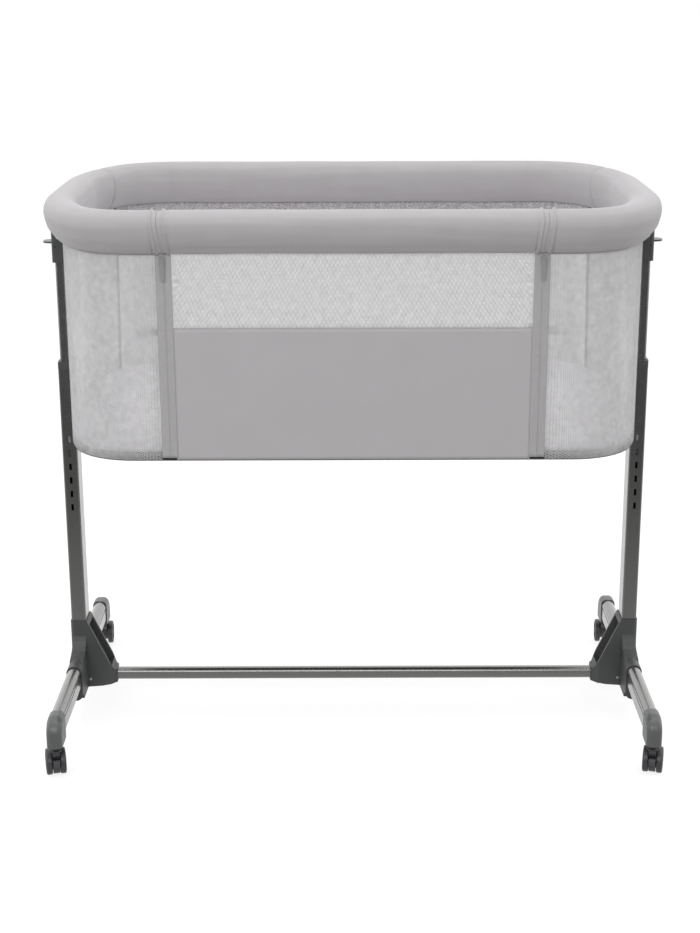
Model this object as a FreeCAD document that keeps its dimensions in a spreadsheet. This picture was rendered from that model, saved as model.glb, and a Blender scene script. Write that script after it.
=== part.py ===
"""Bedside sleeper crib: a padded, mesh-walled basket on two telescopic legs with casters.

Frame: millimetres, +X to the right, +Y to the rear wall, +Z up. The origin is on the floor,
under the middle of the crib. The drop side faces -Y.
"""
import FreeCAD, Part
import Sketcher
import math
import os

Vector = FreeCAD.Vector
os.makedirs("parts", exist_ok=True)
doc = FreeCAD.newDocument("BedsideCrib")

# ---------------------------------------------------------------- driving dimensions
DIMENSIONS = [
    # the plan of the rim, and of the basket's floor, each an end bow and two tighter corners
    ("rim_half_length", 428.4, "rim centre line, from the middle to an end"),
    ("rim_half_depth", 283.0, "rim centre line, from the middle to the front"),
    ("rim_bow_reach", 127.0, "how far the end bow reaches back from the end"),
    ("rim_bow_depth", 208.0, "how far the end bow reaches in from the front"),
    ("rim_corner", 99.0, "tight radius of the rim's corners"),
    ("floor_half_length", 420.5, "basket floor, from the middle to an end"),
    ("floor_half_depth", 273.5, "basket floor, from the middle to the front"),
    ("floor_bow_reach", 108.0, "how far the floor's end bow reaches back"),
    ("floor_bow_depth", 144.5, "how far the floor's end bow reaches in"),
    ("floor_corner", 99.4, "tight radius of the floor's corners"),
    # heights of the basket
    ("rim_height", 828.0, "centre of the rim tube"),
    ("pad_top", 858.0, "crest of the bumper"),
    ("pad_widest", 836.0, "height at which the bumper is widest"),
    ("pad_low", 799.5, "lower edge of the bumper"),
    ("pad_half", 25.0, "half the bumper's thickness"),
    ("wall_top", 799.0, "upper edge of the mesh walls"),
    ("hem_height", 691.0, "seam between the front window and the front skirt"),
    ("wall_bottom", 500.0, "lower edge of the walls"),
    ("wall_sheet", 2.0, "thickness of mesh and cloth walls"),
    ("floor_cloth", 2.0, "thickness of the basket's floor cloth"),
    ("mattress_top", 521.0, "crown of the mattress"),
    ("board_sheet", 5.0, "thickness of the base board"),
    ("floor_wire", 9.0, "diameter of the floor frame's tube"),
    # the rim and its joints
    ("rim_tube", 20.0, "outside diameter of the rim tube"),
    ("tube_wall", 1.5, "wall of every steel tube"),
    ("rear_joint", 280.0, "where the rear rim tube meets the end hoops"),
    ("front_joint", 281.0, "where an end hoop meets the rail fitting"),
    ("spigot_length", 18.0, "how deep a spigot goes into a tube"),
    ("rail_half", 262.5, "half the length of the drop side's rail"),
    ("rail_plug", 12.5, "visible length of a rail plug"),
    ("tongue_length", 3.0, "how far the rail's tongue stands out"),
    ("zip_middle", 262.5, "zip line, from the middle of the crib"),
    ("zip_tape", 9.5, "width of one zip tape"),
    ("seam_turn", 20.2, "angle along the end bow of the bumper's rear seam"),
    # legs
    ("leg_spacing", 448.5, "leg centre line, from the middle of the crib"),
    ("leg_width", 24.0, "lower leg tube along X"),
    ("leg_depth", 40.0, "lower leg tube along Y"),
    ("leg_corner", 4.0, "corner radius of the lower leg tube"),
    ("leg_foot", 103.0, "lower end of the lower leg tube"),
    ("leg_top", 572.0, "upper end of the lower leg tube"),
    ("slide_width", 17.5, "upper leg tube along X"),
    ("slide_depth", 33.0, "upper leg tube along Y"),
    ("slide_corner", 6.5, "corner radius of the upper leg tube"),
    ("slide_foot", 437.0, "lower end of the upper leg tube"),
    ("slide_top", 752.0, "upper end of the upper leg tube"),
    ("collar_rim", 12.0, "height of the leg collar above its tube"),
    ("collar_drop", 16.0, "how deep the leg collar goes into its tube"),
    ("slot_height", 10.5, "height of a latch slot"),
    ("slot_width", 4.0, "width of a latch slot"),
    ("slot_pitch", 22.5, "spacing of the latch slots"),
    ("slot_first", 459.0, "height of the upper latch slot, where the latch is"),
    # head, pin, release
    ("head_foot", 740.0, "lower end of the leg's head"),
    ("head_top", 788.0, "upper end of the leg's head"),
    ("head_width", 24.0, "leg's head along X"),
    ("head_depth", 40.0, "leg's head along Y"),
    ("pin_height", 781.0, "pin on which the basket tilts"),
    ("pin_radius", 3.0, "radius of the tilt pin"),
    ("chamber_half", 13.5, "half the inside width of the head along Y"),
    ("rod_offset", 3.0, "release rod, inwards from the leg's centre line"),
    ("rod_radius", 2.0, "radius of the release rod"),
    # base
    ("hub_width", 27.0, "corner hub along X"),
    ("hub_depth", 46.0, "corner hub's column and web along Y"),
    ("hub_corner", 7.0, "corner radius of the hub's column"),
    ("hub_top", 152.0, "upper end of the hub's socket"),
    ("hub_foot", 36.0, "underside of the hub"),
    ("saddle_half", 88.0, "half the length of the hub's saddle over the foot"),
    ("bar_height", 19.5, "crossbar along Z"),
    ("bar_depth", 18.0, "crossbar along Y"),
    ("bar_middle", 51.75, "height of the crossbar's centre line"),
    ("bar_socket", 24.0, "how deep the crossbar goes into the hub"),
    ("web_reach", 58.0, "how far the hub's web reaches towards the crossbar"),
    ("foot_width", 21.0, "foot tube along X"),
    ("foot_height", 40.0, "foot tube along Z"),
    ("foot_middle", 78.0, "height of the foot tube's centre line"),
    ("foot_half", 262.0, "front end of the foot tube, from the middle"),
    ("foot_back", 220.0, "rear end of the foot tube, from the middle"),
    ("cap_mouth", 250.0, "inner end of a front foot cap's sleeve"),
    ("cap_front", 291.5, "outer end of a front foot cap"),
    ("rear_cap_mouth", 203.0, "inner end of a rear foot cap's sleeve"),
    ("rear_cap_end", 249.5, "outer end of a rear foot cap"),
    ("cap_foot", 55.0, "underside of a foot cap"),
    ("cap_wall", 1.3, "wall of a foot cap's sleeve"),
    # casters
    ("stem_place", 276.5, "front caster stem, from the middle of the crib"),
    ("rear_stem_place", 237.5, "rear caster stem, from the middle of the crib"),
    ("stem_radius", 4.0, "radius of the caster stem"),
    ("stem_top", 75.0, "upper end of the caster stem"),
    ("trail", 19.0, "distance from the stem to the wheel axle"),
    ("caster_turn", 14.0, "how far the front casters are turned at rest"),
    ("rear_turn", 3.6, "how far the rear casters are turned at rest"),
    ("wheel_radius", 20.0, "radius of a caster wheel"),
    ("wheel_width", 9.0, "width of one caster wheel"),
    ("housing_half", 5.3, "half the width of the caster housing"),
    ("axle_radius", 2.5, "radius of the wheel axle"),
    # clearances
    ("fit_gap", 0.1, "clearance round a tube that is fixed in plastic"),
    ("running_gap", 0.05, "clearance round a pin or shaft that turns"),
    ("slide_gap", 0.6, "clearance round a tube that slides"),
    ("soft_gap", 0.4, "clearance round soft pieces"),
    ("wheel_gap", 0.5, "clearance between a wheel and its housing"),
]

sheet = doc.addObject("Spreadsheet::Sheet", "Sizes")
for row, (alias, number, meaning) in enumerate(DIMENSIONS, start=1):
    sheet.set(f"A{row}", meaning)
    sheet.set(f"B{row}", str(number))
    sheet.setAlias(f"B{row}", alias)
doc.recompute()


class Size:
    """A length that knows its number and the sheet expression that gives it."""

    def __init__(self, text, number):
        self.text = text
        self.number = number

    def __float__(self):
        return float(self.number)

    def joined(self, other, sign, number):
        return Size(f"({self.text} {sign} {as_size(other).text})", number)

    def __add__(self, other):
        return self.joined(other, "+", self.number + float(other))

    def __sub__(self, other):
        return self.joined(other, "-", self.number - float(other))

    def __mul__(self, other):
        return self.joined(other, "*", self.number * float(other))

    def __truediv__(self, other):
        return self.joined(other, "/", self.number / float(other))

    def __radd__(self, other):
        return as_size(other) + self

    def __rsub__(self, other):
        return as_size(other) - self

    def __rmul__(self, other):
        return as_size(other) * self

    def __neg__(self):
        return self * -1


def as_size(value):
    return value if isinstance(value, Size) else Size(f"({float(value):.6g})", float(value))


class Sheet:
    """The driving dimensions, one attribute for each alias."""


S = Sheet()
for alias, number, meaning in DIMENSIONS:
    setattr(S, alias, Size(f"Sizes.{alias}", float(sheet.get(alias))))


def number(alias_or_size):
    return float(alias_or_size)


# ---------------------------------------------------------------- drawing helpers
def bind(thing, prop, value):
    setattr(thing, prop, float(value))
    if isinstance(value, Size):
        thing.setExpression(prop, value.text)


def put(thing, x=0.0, y=0.0, z=0.0):
    """Place a sub-part, keeping its position tied to the sheet."""
    for axis, value in zip("xyz", (x, y, z)):
        thing.setExpression(f"Placement.Base.{axis}", as_size(value).text)


def new_body(label):
    thing = doc.addObject("PartDesign::Body", label)
    thing.Label = label
    return thing


def new_sketch(body, role, name, lift=0.0):
    sketch = body.newObject("Sketcher::SketchObject", f"{body.Name}_{name}")
    plane = [item for item in body.Origin.OriginFeatures if item.Role == role][0]
    sketch.AttachmentSupport = [(plane, "")]
    sketch.MapMode = "FlatFace"
    sketch.setExpression("AttachmentOffset.Base.z", as_size(lift).text)
    return sketch


def pin_coordinate(sketch, kind, index, place, value):
    """Hold one coordinate of a sketch point with a named, sheet-driven constraint."""
    added = sketch.addConstraint(Sketcher.Constraint(kind, -1, 1, index, place, float(value)))
    label = f"{kind}{index}p{place}"
    sketch.renameConstraint(added, label)
    sketch.setExpression(f"Constraints.{label}", as_size(value).text)


def pin_point(sketch, index, place, x, y):
    pin_coordinate(sketch, "DistanceX", index, place, x)
    pin_coordinate(sketch, "DistanceY", index, place, y)


def outline(sketch, points):
    """Draw a closed run of straight lines through the points."""
    first = sketch.GeometryCount
    count = len(points)
    for here, there in zip(points, points[1:] + points[:1]):
        start = Vector(float(here[0]), float(here[1]), 0)
        stop = Vector(float(there[0]), float(there[1]), 0)
        sketch.addGeometry(Part.LineSegment(start, stop), False)
    for step in range(count):
        after = (step + 1) % count
        sketch.addConstraint(Sketcher.Constraint("Coincident", first + step, 2, first + after, 1))
    for step, (x, y) in enumerate(points):
        pin_point(sketch, first + step, 1, x, y)


def rectangle(sketch, width, height, x=0.0, y=0.0):
    west, east = x - width / 2, x + width / 2
    south, north = y - height / 2, y + height / 2
    outline(sketch, [(west, south), (east, south), (east, north), (west, north)])


def rounded(sketch, width, height, corner, x=0.0, y=0.0):
    """Draw a rectangle with rounded corners round the point x, y."""
    west, east = x - width / 2, x + width / 2
    south, north = y - height / 2, y + height / 2
    sides = [((west + corner, south), (east - corner, south)),
             ((east, south + corner), (east, north - corner)),
             ((east - corner, north), (west + corner, north)),
             ((west, north - corner), (west, south + corner))]
    centres = [(east - corner, south + corner), (east - corner, north - corner),
               (west + corner, north - corner), (west + corner, south + corner)]
    lines = []
    for start, stop in sides:
        ends = [Vector(float(x_), float(y_), 0) for x_, y_ in (start, stop)]
        lines.append(sketch.addGeometry(Part.LineSegment(*ends), False))
    for step, (centre_x, centre_y) in enumerate(centres):
        middle = Vector(float(centre_x), float(centre_y), 0)
        ring = Part.Circle(middle, Vector(0, 0, 1), float(corner))
        quarter = Part.ArcOfCircle(ring, (step - 1) * math.pi / 2, step * math.pi / 2)
        arc = sketch.addGeometry(quarter, False)
        after = lines[(step + 1) % 4]
        sketch.addConstraint(Sketcher.Constraint("Coincident", lines[step], 2, arc, 1))
        sketch.addConstraint(Sketcher.Constraint("Coincident", arc, 2, after, 1))
        pin_point(sketch, lines[step], 1, *sides[step][0])
        pin_point(sketch, lines[step], 2, *sides[step][1])
        pin_coordinate(sketch, "DistanceX", arc, 3, centre_x)


def circle(sketch, radius, x=0.0, y=0.0):
    ring = Part.Circle(Vector(float(x), float(y), 0), Vector(0, 0, 1), float(radius))
    index = sketch.addGeometry(ring, False)
    added = sketch.addConstraint(Sketcher.Constraint("Radius", index, float(radius)))
    sketch.renameConstraint(added, f"Radius{index}")
    sketch.setExpression(f"Constraints.Radius{index}", as_size(radius).text)
    pin_point(sketch, index, 3, x, y)


def extrude(body, kind, sketch, length, symmetric=False, reverse=False):
    feature = body.newObject(f"PartDesign::{kind}", f"{sketch.Name}_{kind}")
    feature.Profile = sketch
    bind(feature, "Length", length)
    feature.SideType = "Symmetric" if symmetric else "One side"
    feature.Reversed = reverse
    sketch.Visibility = False
    doc.recompute()
    return feature


def pad(body, sketch, length, **options):
    return extrude(body, "Pad", sketch, length, **options)


def pocket(body, sketch, length, **options):
    before = body.Shape.Volume
    feature = extrude(body, "Pocket", sketch, length, **options)
    if not body.Shape.Volume < before:
        raise RuntimeError(f"{feature.Name} cuts nothing")
    return feature


def round_edges(body, name, radius, wanted):
    """Fillet the edges of the body's last feature that the test asks for."""
    base = body.Tip
    names = [f"Edge{i}" for i, edge in enumerate(base.Shape.Edges, start=1) if wanted(edge)]
    feature = body.newObject("PartDesign::Fillet", f"{body.Name}_{name}")
    feature.Base = (base, names)
    bind(feature, "Radius", radius)
    doc.recompute()
    return feature


def runs_along(edge, axis):
    start, stop = edge.Vertexes[0].Point, edge.Vertexes[-1].Point
    reach = stop - start
    return reach.Length > 1 and abs(abs(reach.normalize().dot(axis)) - 1) < 1e-6


X_AXIS, Y_AXIS, Z_AXIS = Vector(1, 0, 0), Vector(0, 1, 0), Vector(0, 0, 1)
PLANE_ACROSS = {"X": "YZ_Plane", "Y": "XZ_Plane", "Z": "XY_Plane"}


def flat_tube(label, direction, width, height, corner, wall, length, middle=0.0, lift=0.0):
    """A rounded rectangular tube; across X or Y the profile's height runs along Z."""
    body = new_body(label)
    sketch = new_sketch(body, PLANE_ACROSS[direction], "profile", lift)
    rounded(sketch, width, height, corner, 0.0, middle)
    rounded(sketch, width - 2 * wall, height - 2 * wall, corner - wall, 0.0, middle)
    pad(body, sketch, length, symmetric=direction != "Z")
    return body


def shape_part(label, shape):
    thing = doc.addObject("Part::Feature", label)
    thing.Label = label
    thing.Shape = shape
    return thing


SUBPARTS = []


def keep(*things):
    SUBPARTS.extend(things)


SIDES = {"left": -1, "right": 1}


# ---------------------------------------------------------------- base: crossbar, feet, legs
def make_crossbar():
    half = S.leg_spacing - S.web_reach + S.bar_socket
    body = flat_tube("crossbar", "X", S.bar_depth, S.bar_height, 7.5, S.tube_wall,
                     2 * half, S.bar_middle)
    sketch = new_sketch(body, "YZ_Plane", "flutes")
    flute_depth, flute_height, flute_rise = 0.8, 3.0, 3.5
    for sign in (-1, 1):
        rectangle(sketch, 2 * flute_depth, flute_height, sign * S.bar_depth / 2,
                  S.bar_middle + flute_rise)
    pocket(body, sketch, 2 * half + 2, symmetric=True)
    keep(body)


def make_foot(side, sign):
    body = flat_tube(f"{side}_foot_tube", "Y", S.foot_width, S.foot_height, 9.5, S.tube_wall,
                     S.foot_half + S.foot_back, S.foot_middle, (S.foot_half - S.foot_back) / 2)
    sketch = new_sketch(body, "XZ_Plane", "flutes")
    flute_depth, flute_height, flute_rise = 0.8, 3.0, 8.0
    for flank in (-1, 1):
        rectangle(sketch, 2 * flute_depth, flute_height, flank * S.foot_width / 2,
                  S.foot_middle + flute_rise)
    pocket(body, sketch, 2 * S.foot_half + 2, symmetric=True)
    put(body, sign * S.leg_spacing)
    keep(body)


def make_lower_leg(side, sign):
    body = flat_tube(f"{side}_lower_leg", "Z", S.leg_width, S.leg_depth, S.leg_corner,
                     S.tube_wall, S.leg_top - S.leg_foot, 0.0, S.leg_foot)
    sketch = new_sketch(body, "XZ_Plane", "latch_slots", S.leg_depth / 2 - S.tube_wall - 1)
    slot_count = 6
    for step in range(slot_count):
        rectangle(sketch, S.slot_width, S.slot_height, 0.0, S.slot_first - step * S.slot_pitch)
    pocket(body, sketch, S.tube_wall + 3, reverse=True)
    put(body, sign * S.leg_spacing)
    keep(body)


def make_leg_collar(side, sign):
    """Plastic ring that closes the lower tube and guides the upper one."""
    body = new_body(f"{side}_collar")
    top = new_sketch(body, "XY_Plane", "rim", S.leg_top)
    rounded(top, S.leg_width, S.leg_depth, S.leg_corner)
    pad(body, top, S.collar_rim)
    plug = new_sketch(body, "XY_Plane", "plug", S.leg_top - S.collar_drop)
    plug_width = S.leg_width - 2 * S.tube_wall - 2 * S.fit_gap
    plug_depth = S.leg_depth - 2 * S.tube_wall - 2 * S.fit_gap
    rounded(plug, plug_width, plug_depth, S.leg_corner - S.tube_wall)
    pad(body, plug, S.collar_drop)
    bore = new_sketch(body, "XY_Plane", "bore", S.leg_top + S.collar_rim)
    bore_width, bore_depth = S.slide_width + 2 * S.slide_gap, S.slide_depth + 2 * S.slide_gap
    rounded(bore, bore_width, bore_depth, S.slide_corner + S.slide_gap)
    pocket(body, bore, S.collar_drop + S.collar_rim + 1)
    put(body, sign * S.leg_spacing)
    return body


SCREW_INSET, SCREW_HEIGHT, SCREW_RADIUS = 15.2, 50.5, 1.5


def make_hub(side, sign):
    """Moulded corner hub: a socket for the leg, a cowl over the foot and a hollow web."""
    body = new_body(f"{side}_hub")
    column = new_sketch(body, "XY_Plane", "column", S.hub_foot)
    rounded(column, S.hub_width, S.hub_depth, S.hub_corner)
    pad(body, column, S.hub_top - S.hub_foot)

    cowl_wall = 2.0
    cowl = new_sketch(body, "XZ_Plane", "cowl")
    cowl_top = S.foot_middle + S.foot_height / 2 + cowl_wall
    cowl_foot = S.hub_foot + 5
    rounded(cowl, S.foot_width + 2 * cowl_wall, cowl_top - cowl_foot, 9.5 + cowl_wall,
            0.0, (cowl_top + cowl_foot) / 2)
    pad(body, cowl, 2 * S.saddle_half, symmetric=True)
    fairing = new_sketch(body, "YZ_Plane", "fairing")
    rear = S.hub_depth / 2
    half = [(rear - 2, S.hub_top - 20), (rear, S.hub_top - 26), (rear + 2.5, S.hub_top - 33),
            (rear + 7, cowl_top + 11.5), (rear + 14, cowl_top + 6), (rear + 24, cowl_top + 2),
            (rear + 36, cowl_top - 1), (S.saddle_half - 10, S.foot_middle),
            (S.saddle_half - 22, S.hub_foot)]
    outline(fairing, half + [(-y, z) for y, z in reversed(half)])
    pad(body, fairing, S.foot_width + 2 * cowl_wall - 3, symmetric=True)

    web = new_sketch(body, "XZ_Plane", "web")
    inward = -sign
    web_top, sleeve_top = S.hub_top, S.bar_middle + S.bar_height / 2 + 2
    tip, neck = S.web_reach, 11.0
    outline(web, [(0.0, S.hub_foot), (inward * (tip - 23), S.hub_foot + 2.5),
                  (inward * (tip - 13), S.bar_middle - S.bar_height / 2 - 1.5),
                  (inward * tip, S.bar_middle - S.bar_height / 2 - 1.5),
                  (inward * tip, sleeve_top), (inward * (tip - 4), sleeve_top + 1),
                  (inward * S.hub_width / 2, web_top), (0.0, web_top)])
    pad(body, web, S.hub_depth, symmetric=True)
    taper = new_sketch(body, "XY_Plane", "taper", S.hub_top + 1)
    sleeve_half = S.bar_depth / 2 + 2
    for flank in (-1, 1):
        outline(taper, [(inward * (tip - neck), flank * (S.hub_depth / 2 + 1)),
                        (inward * (tip - neck), flank * S.hub_depth / 2),
                        (inward * tip, flank * sleeve_half),
                        (inward * (tip + 2), flank * sleeve_half),
                        (inward * (tip + 2), flank * (S.hub_depth / 2 + 1))])
    pocket(body, taper, S.hub_top + 2)

    channel = new_sketch(body, "XZ_Plane", "channel")
    skin, depth = 4.0, 9.0
    top_point = Vector(float(S.hub_width) / 2, float(web_top), 0)
    low_point = Vector(float(tip) - 4, float(sleeve_top) + 1, 0)
    along = (low_point - top_point).normalize()
    inside = Vector(-along.y, along.x, 0) * -1
    start, stop = top_point + along * 8, low_point - along * 9
    corners = [start - inside * 6, stop - inside * 6, stop + inside * depth, start + inside * depth]
    outline(channel, [(inward * point.x, point.y) for point in corners])
    pocket(body, channel, S.hub_depth - 2 * skin, symmetric=True)

    socket = new_sketch(body, "XY_Plane", "leg_socket", S.hub_top)
    socket_width, socket_depth = S.leg_width + 2 * S.fit_gap, S.leg_depth + 2 * S.fit_gap
    rounded(socket, socket_width, socket_depth, S.leg_corner)
    pocket(body, socket, S.hub_top - S.leg_foot)

    tunnel = new_sketch(body, "XZ_Plane", "foot_tunnel")
    tunnel_width, tunnel_height = S.foot_width + 2 * S.fit_gap, S.foot_height + 2 * S.fit_gap
    rounded(tunnel, tunnel_width, tunnel_height, 9.5, 0.0, S.foot_middle)
    pocket(body, tunnel, 2 * S.saddle_half + 4, symmetric=True)

    bar = new_sketch(body, "YZ_Plane", "bar_socket", inward * (S.web_reach + 1))
    bar_width, bar_height = S.bar_depth + 2 * S.fit_gap, S.bar_height + 2 * S.fit_gap
    rounded(bar, bar_width, bar_height, 7.5, 0.0, S.bar_middle)
    pocket(body, bar, S.bar_socket + 1.5, reverse=sign > 0)

    holes = new_sketch(body, "XZ_Plane", "screw_holes", S.hub_depth / 2)
    circle(holes, SCREW_RADIUS + S.fit_gap, inward * SCREW_INSET, SCREW_HEIGHT)
    pocket(body, holes, S.hub_depth)
    put(body, sign * S.leg_spacing)
    keep(body)


def make_hub_screws():
    """Four small screws, two in each hub under the foot, from the front and the back."""
    screws = []
    head_radius, head_height, shank = 2.2, 0.8, 9.0
    face = number(S.hub_depth) / 2
    for sign in SIDES.values():
        for facing in (-1, 1):
            x = sign * (number(S.leg_spacing) - SCREW_INSET)
            outward = Vector(0, facing, 0)
            seat = Vector(x, facing * face, SCREW_HEIGHT)
            head = Part.makeCylinder(head_radius, head_height, seat, outward)
            rim = [edge for edge in head.Edges if abs(edge.CenterOfMass.y - seat.y) > 0.5]
            head = head.makeFillet(0.5, rim)
            stem = Part.makeCylinder(SCREW_RADIUS, shank, seat, -outward)
            screws.append(head.fuse(stem))
    keep(shape_part("hub_screws", Part.makeCompound(screws)))


def stem_place(facing):
    """Distance of a caster's stem from the middle, at the front or at the rear."""
    return S.stem_place if facing < 0 else S.rear_stem_place


def make_foot_cap(label, sign, facing):
    """Elbow-shaped plastic end: a sleeve on the foot tube that turns down over a caster."""
    body = new_body(label)
    wide = S.foot_width + 2 * S.cap_wall
    top = S.foot_middle + S.foot_height / 2 + S.cap_wall
    if facing < 0:
        mouth, nose, tube_end, elbow_radius = S.cap_mouth, S.cap_front, S.foot_half, 26.0
    else:
        mouth, nose, tube_end, elbow_radius = S.rear_cap_mouth, S.rear_cap_end, S.foot_back, 30.0
    stem = stem_place(facing)
    side_view = new_sketch(body, "YZ_Plane", "side_view")
    half = [(mouth, S.foot_middle - S.foot_height / 2 - S.cap_wall), (mouth, top),
            (nose, top), (nose, S.cap_foot), (stem - 14, S.cap_foot)]
    outline(side_view, [(facing * y, z) for y, z in half])
    pad(body, side_view, wide, symmetric=True)
    round_edges(body, "elbow", elbow_radius,
                lambda edge: runs_along(edge, X_AXIS) and edge.CenterOfMass.z > float(top) - 0.1
                and abs(edge.CenterOfMass.y) > float(nose) - 0.1)
    round_edges(body, "top_edges", 8.5,
                lambda edge: edge.Length > 5 and edge.CenterOfMass.z > float(S.foot_middle)
                and abs(abs(edge.CenterOfMass.x) - float(wide) / 2) < 0.01
                and abs(edge.CenterOfMass.y) > float(mouth) + 1)
    sleeve = new_sketch(body, "XZ_Plane", "sleeve", -facing * (mouth - 1))
    bore_width, bore_height = S.foot_width + 2 * S.fit_gap, S.foot_height + 2 * S.fit_gap
    rounded(sleeve, bore_width, bore_height, 9.5, 0.0, S.foot_middle)
    pocket(body, sleeve, tube_end - mouth + 1.5, reverse=facing < 0)
    socket = new_sketch(body, "XY_Plane", "stem_socket", S.cap_foot - 1)
    circle(socket, S.stem_radius + S.running_gap, 0.0, facing * stem)
    pocket(body, socket, S.stem_top - S.cap_foot + 2, reverse=True)
    put(body, sign * S.leg_spacing)
    return body


# ---------------------------------------------------------------- casters
def place_caster(thing, sign, facing):
    put(thing, sign * S.leg_spacing, facing * stem_place(facing))
    turn = -sign * (S.caster_turn if facing < 0 else S.rear_turn)
    thing.Placement.Rotation = FreeCAD.Rotation(Z_AXIS, float(turn))
    thing.setExpression("Placement.Rotation.Angle", turn.text)


def make_caster(corner, sign, facing, braked):
    """Twin-wheel caster in its own frame: stem on Z, wheels trailing towards the rear."""
    back = 1
    axle_y, axle_z = back * S.trail, S.wheel_radius

    body = new_body(f"{corner}_caster")
    disc = new_sketch(body, "YZ_Plane", "disc")
    disc_radius = 13.0
    circle(disc, disc_radius, axle_y, axle_z)
    pad(body, disc, 2 * S.housing_half, symmetric=True)
    neck = new_sketch(body, "YZ_Plane", "neck")
    shoulder = S.wheel_radius * 2 + 5
    outline(neck, [(back * -7.0, shoulder), (back * 9.0, shoulder), (back * 22.0, shoulder - 9),
                   (axle_y + back * 8, axle_z + 8), (axle_y - back * 11, axle_z + 5),
                   (back * -7.0, shoulder - 5)])
    pad(body, neck, 2 * S.housing_half, symmetric=True)
    plate = new_sketch(body, "XY_Plane", "thrust_plate", shoulder)
    circle(plate, 8.0)
    pad(body, plate, 2.0)
    stem = new_sketch(body, "XY_Plane", "stem", shoulder)
    circle(stem, S.stem_radius)
    pad(body, stem, S.stem_top - shoulder)
    bore = new_sketch(body, "YZ_Plane", "axle_bore")
    circle(bore, S.axle_radius + S.running_gap, axle_y, axle_z)
    pocket(body, bore, 2 * S.housing_half + 2, symmetric=True)
    place_caster(body, sign, facing)
    keep(body)

    inner = S.housing_half + S.wheel_gap
    wheels = new_body(f"{corner}_wheels")
    axle = new_sketch(wheels, "YZ_Plane", "axle")
    circle(axle, S.axle_radius, axle_y, axle_z)
    pad(wheels, axle, 2 * inner + 8, symmetric=True)
    rims = new_sketch(wheels, "YZ_Plane", "rims")
    circle(rims, S.wheel_radius, axle_y, axle_z)
    pad(wheels, rims, 2 * inner + 2 * S.wheel_width, symmetric=True)
    gap = new_sketch(wheels, "YZ_Plane", "gap")
    circle(gap, S.wheel_radius + 1, axle_y, axle_z)
    circle(gap, S.axle_radius, axle_y, axle_z)
    pocket(wheels, gap, 2 * inner, symmetric=True)
    dish = new_sketch(wheels, "YZ_Plane", "dish", inner + S.wheel_width)
    circle(dish, S.wheel_radius - 6, axle_y, axle_z)
    circle(dish, 5.5, axle_y, axle_z)
    pocket(wheels, dish, 2.0)
    other_dish = new_sketch(wheels, "YZ_Plane", "other_dish", -inner - S.wheel_width)
    circle(other_dish, S.wheel_radius - 6, axle_y, axle_z)
    circle(other_dish, 5.5, axle_y, axle_z)
    pocket(wheels, other_dish, 2.0, reverse=True)
    tread_radius = 2.4
    round_edges(wheels, "treads", tread_radius,
                lambda edge: abs(edge.BoundBox.ZLength - 2 * float(S.wheel_radius)) < 0.01)
    place_caster(wheels, sign, facing)
    keep(wheels)

    if braked:
        lever = new_body(f"{corner}_brake")
        ring = new_sketch(lever, "YZ_Plane", "ring")
        circle(ring, S.wheel_radius - 0.9, axle_y, axle_z)
        circle(ring, disc_radius + S.wheel_gap, axle_y, axle_z)
        half = S.housing_half - 0.3
        pad(lever, ring, 2 * half, symmetric=True)
        keep_out = new_sketch(lever, "YZ_Plane", "keep_out")
        front = -back
        far = 40.0
        outline(keep_out, [(axle_y, axle_z), (axle_y + front * 14, axle_z - 22),
                           (axle_y + front * 14, axle_z - far), (axle_y - front * far, axle_z - far),
                           (axle_y - front * far, axle_z + far),
                           (axle_y + front * far, axle_z + far),
                           (axle_y + front * far, axle_z + 10)])
        pocket(lever, keep_out, 2 * half + 2, symmetric=True)
        toe = new_sketch(lever, "YZ_Plane", "toe")
        outline(toe, [(axle_y + front * 14.5, axle_z + 1), (axle_y + front * 18.0, axle_z - 4),
                      (axle_y + front * 25.0, axle_z + 7), (axle_y + front * 23.8, axle_z + 10),
                      (axle_y + front * 15.0, axle_z + 3.5)])
        pad(lever, toe, 2 * half, symmetric=True)
        place_caster(lever, sign, facing)
        keep(lever)


# ---------------------------------------------------------------- upper legs and their release
def make_upper_tube(side, sign):
    body = flat_tube(f"{side}_upper_tube", "Z", S.slide_width, S.slide_depth, S.slide_corner,
                     S.tube_wall, S.slide_top - S.slide_foot, 0.0, S.slide_foot)
    window = new_sketch(body, "XZ_Plane", "latch_window", S.slide_depth / 2 - S.tube_wall - 1)
    rectangle(window, S.slot_width + 0.2, S.slot_height + 0.2, 0.0, S.slot_first)
    pocket(body, window, S.tube_wall + 3, reverse=True)
    put(body, sign * S.leg_spacing)
    keep(body)


LATCH_HALF_HEIGHT = 6.0
PLATE_HALF = 1.5
CAM_START = -3.0
CAM_TRAVEL = 4.2
CAM_PIN = 1.2


def make_latch_guide(side, sign):
    """Plastic foot of the upper tube: it runs in the lower tube and carries the latch."""
    body = new_body(f"{side}_latch_guide")
    flange_height = 5.0
    flange = new_sketch(body, "XY_Plane", "flange", S.slide_foot - flange_height)
    flange_width = S.leg_width - 2 * S.tube_wall - 1.0
    flange_depth = S.leg_depth - 2 * S.tube_wall - 1.0
    rounded(flange, flange_width, flange_depth, S.leg_corner - S.tube_wall)
    pad(body, flange, flange_height)
    plug = new_sketch(body, "XY_Plane", "plug", S.slide_foot)
    plug_width = S.slide_width - 2 * S.tube_wall - 2 * S.fit_gap
    plug_depth = S.slide_depth - 2 * S.tube_wall - 2 * S.fit_gap
    rounded(plug, plug_width, plug_depth, S.slide_corner - S.tube_wall)
    shelf = S.slot_first - LATCH_HALF_HEIGHT - 0.3
    pad(body, plug, shelf - S.slide_foot)
    groove = new_sketch(body, "XY_Plane", "groove", shelf)
    rectangle(groove, 2 * PLATE_HALF + 1.0, 18.0, -sign * S.rod_offset, -0.5)
    pocket(body, groove, 5.0)
    put(body, sign * S.leg_spacing)
    keep(body)


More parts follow.
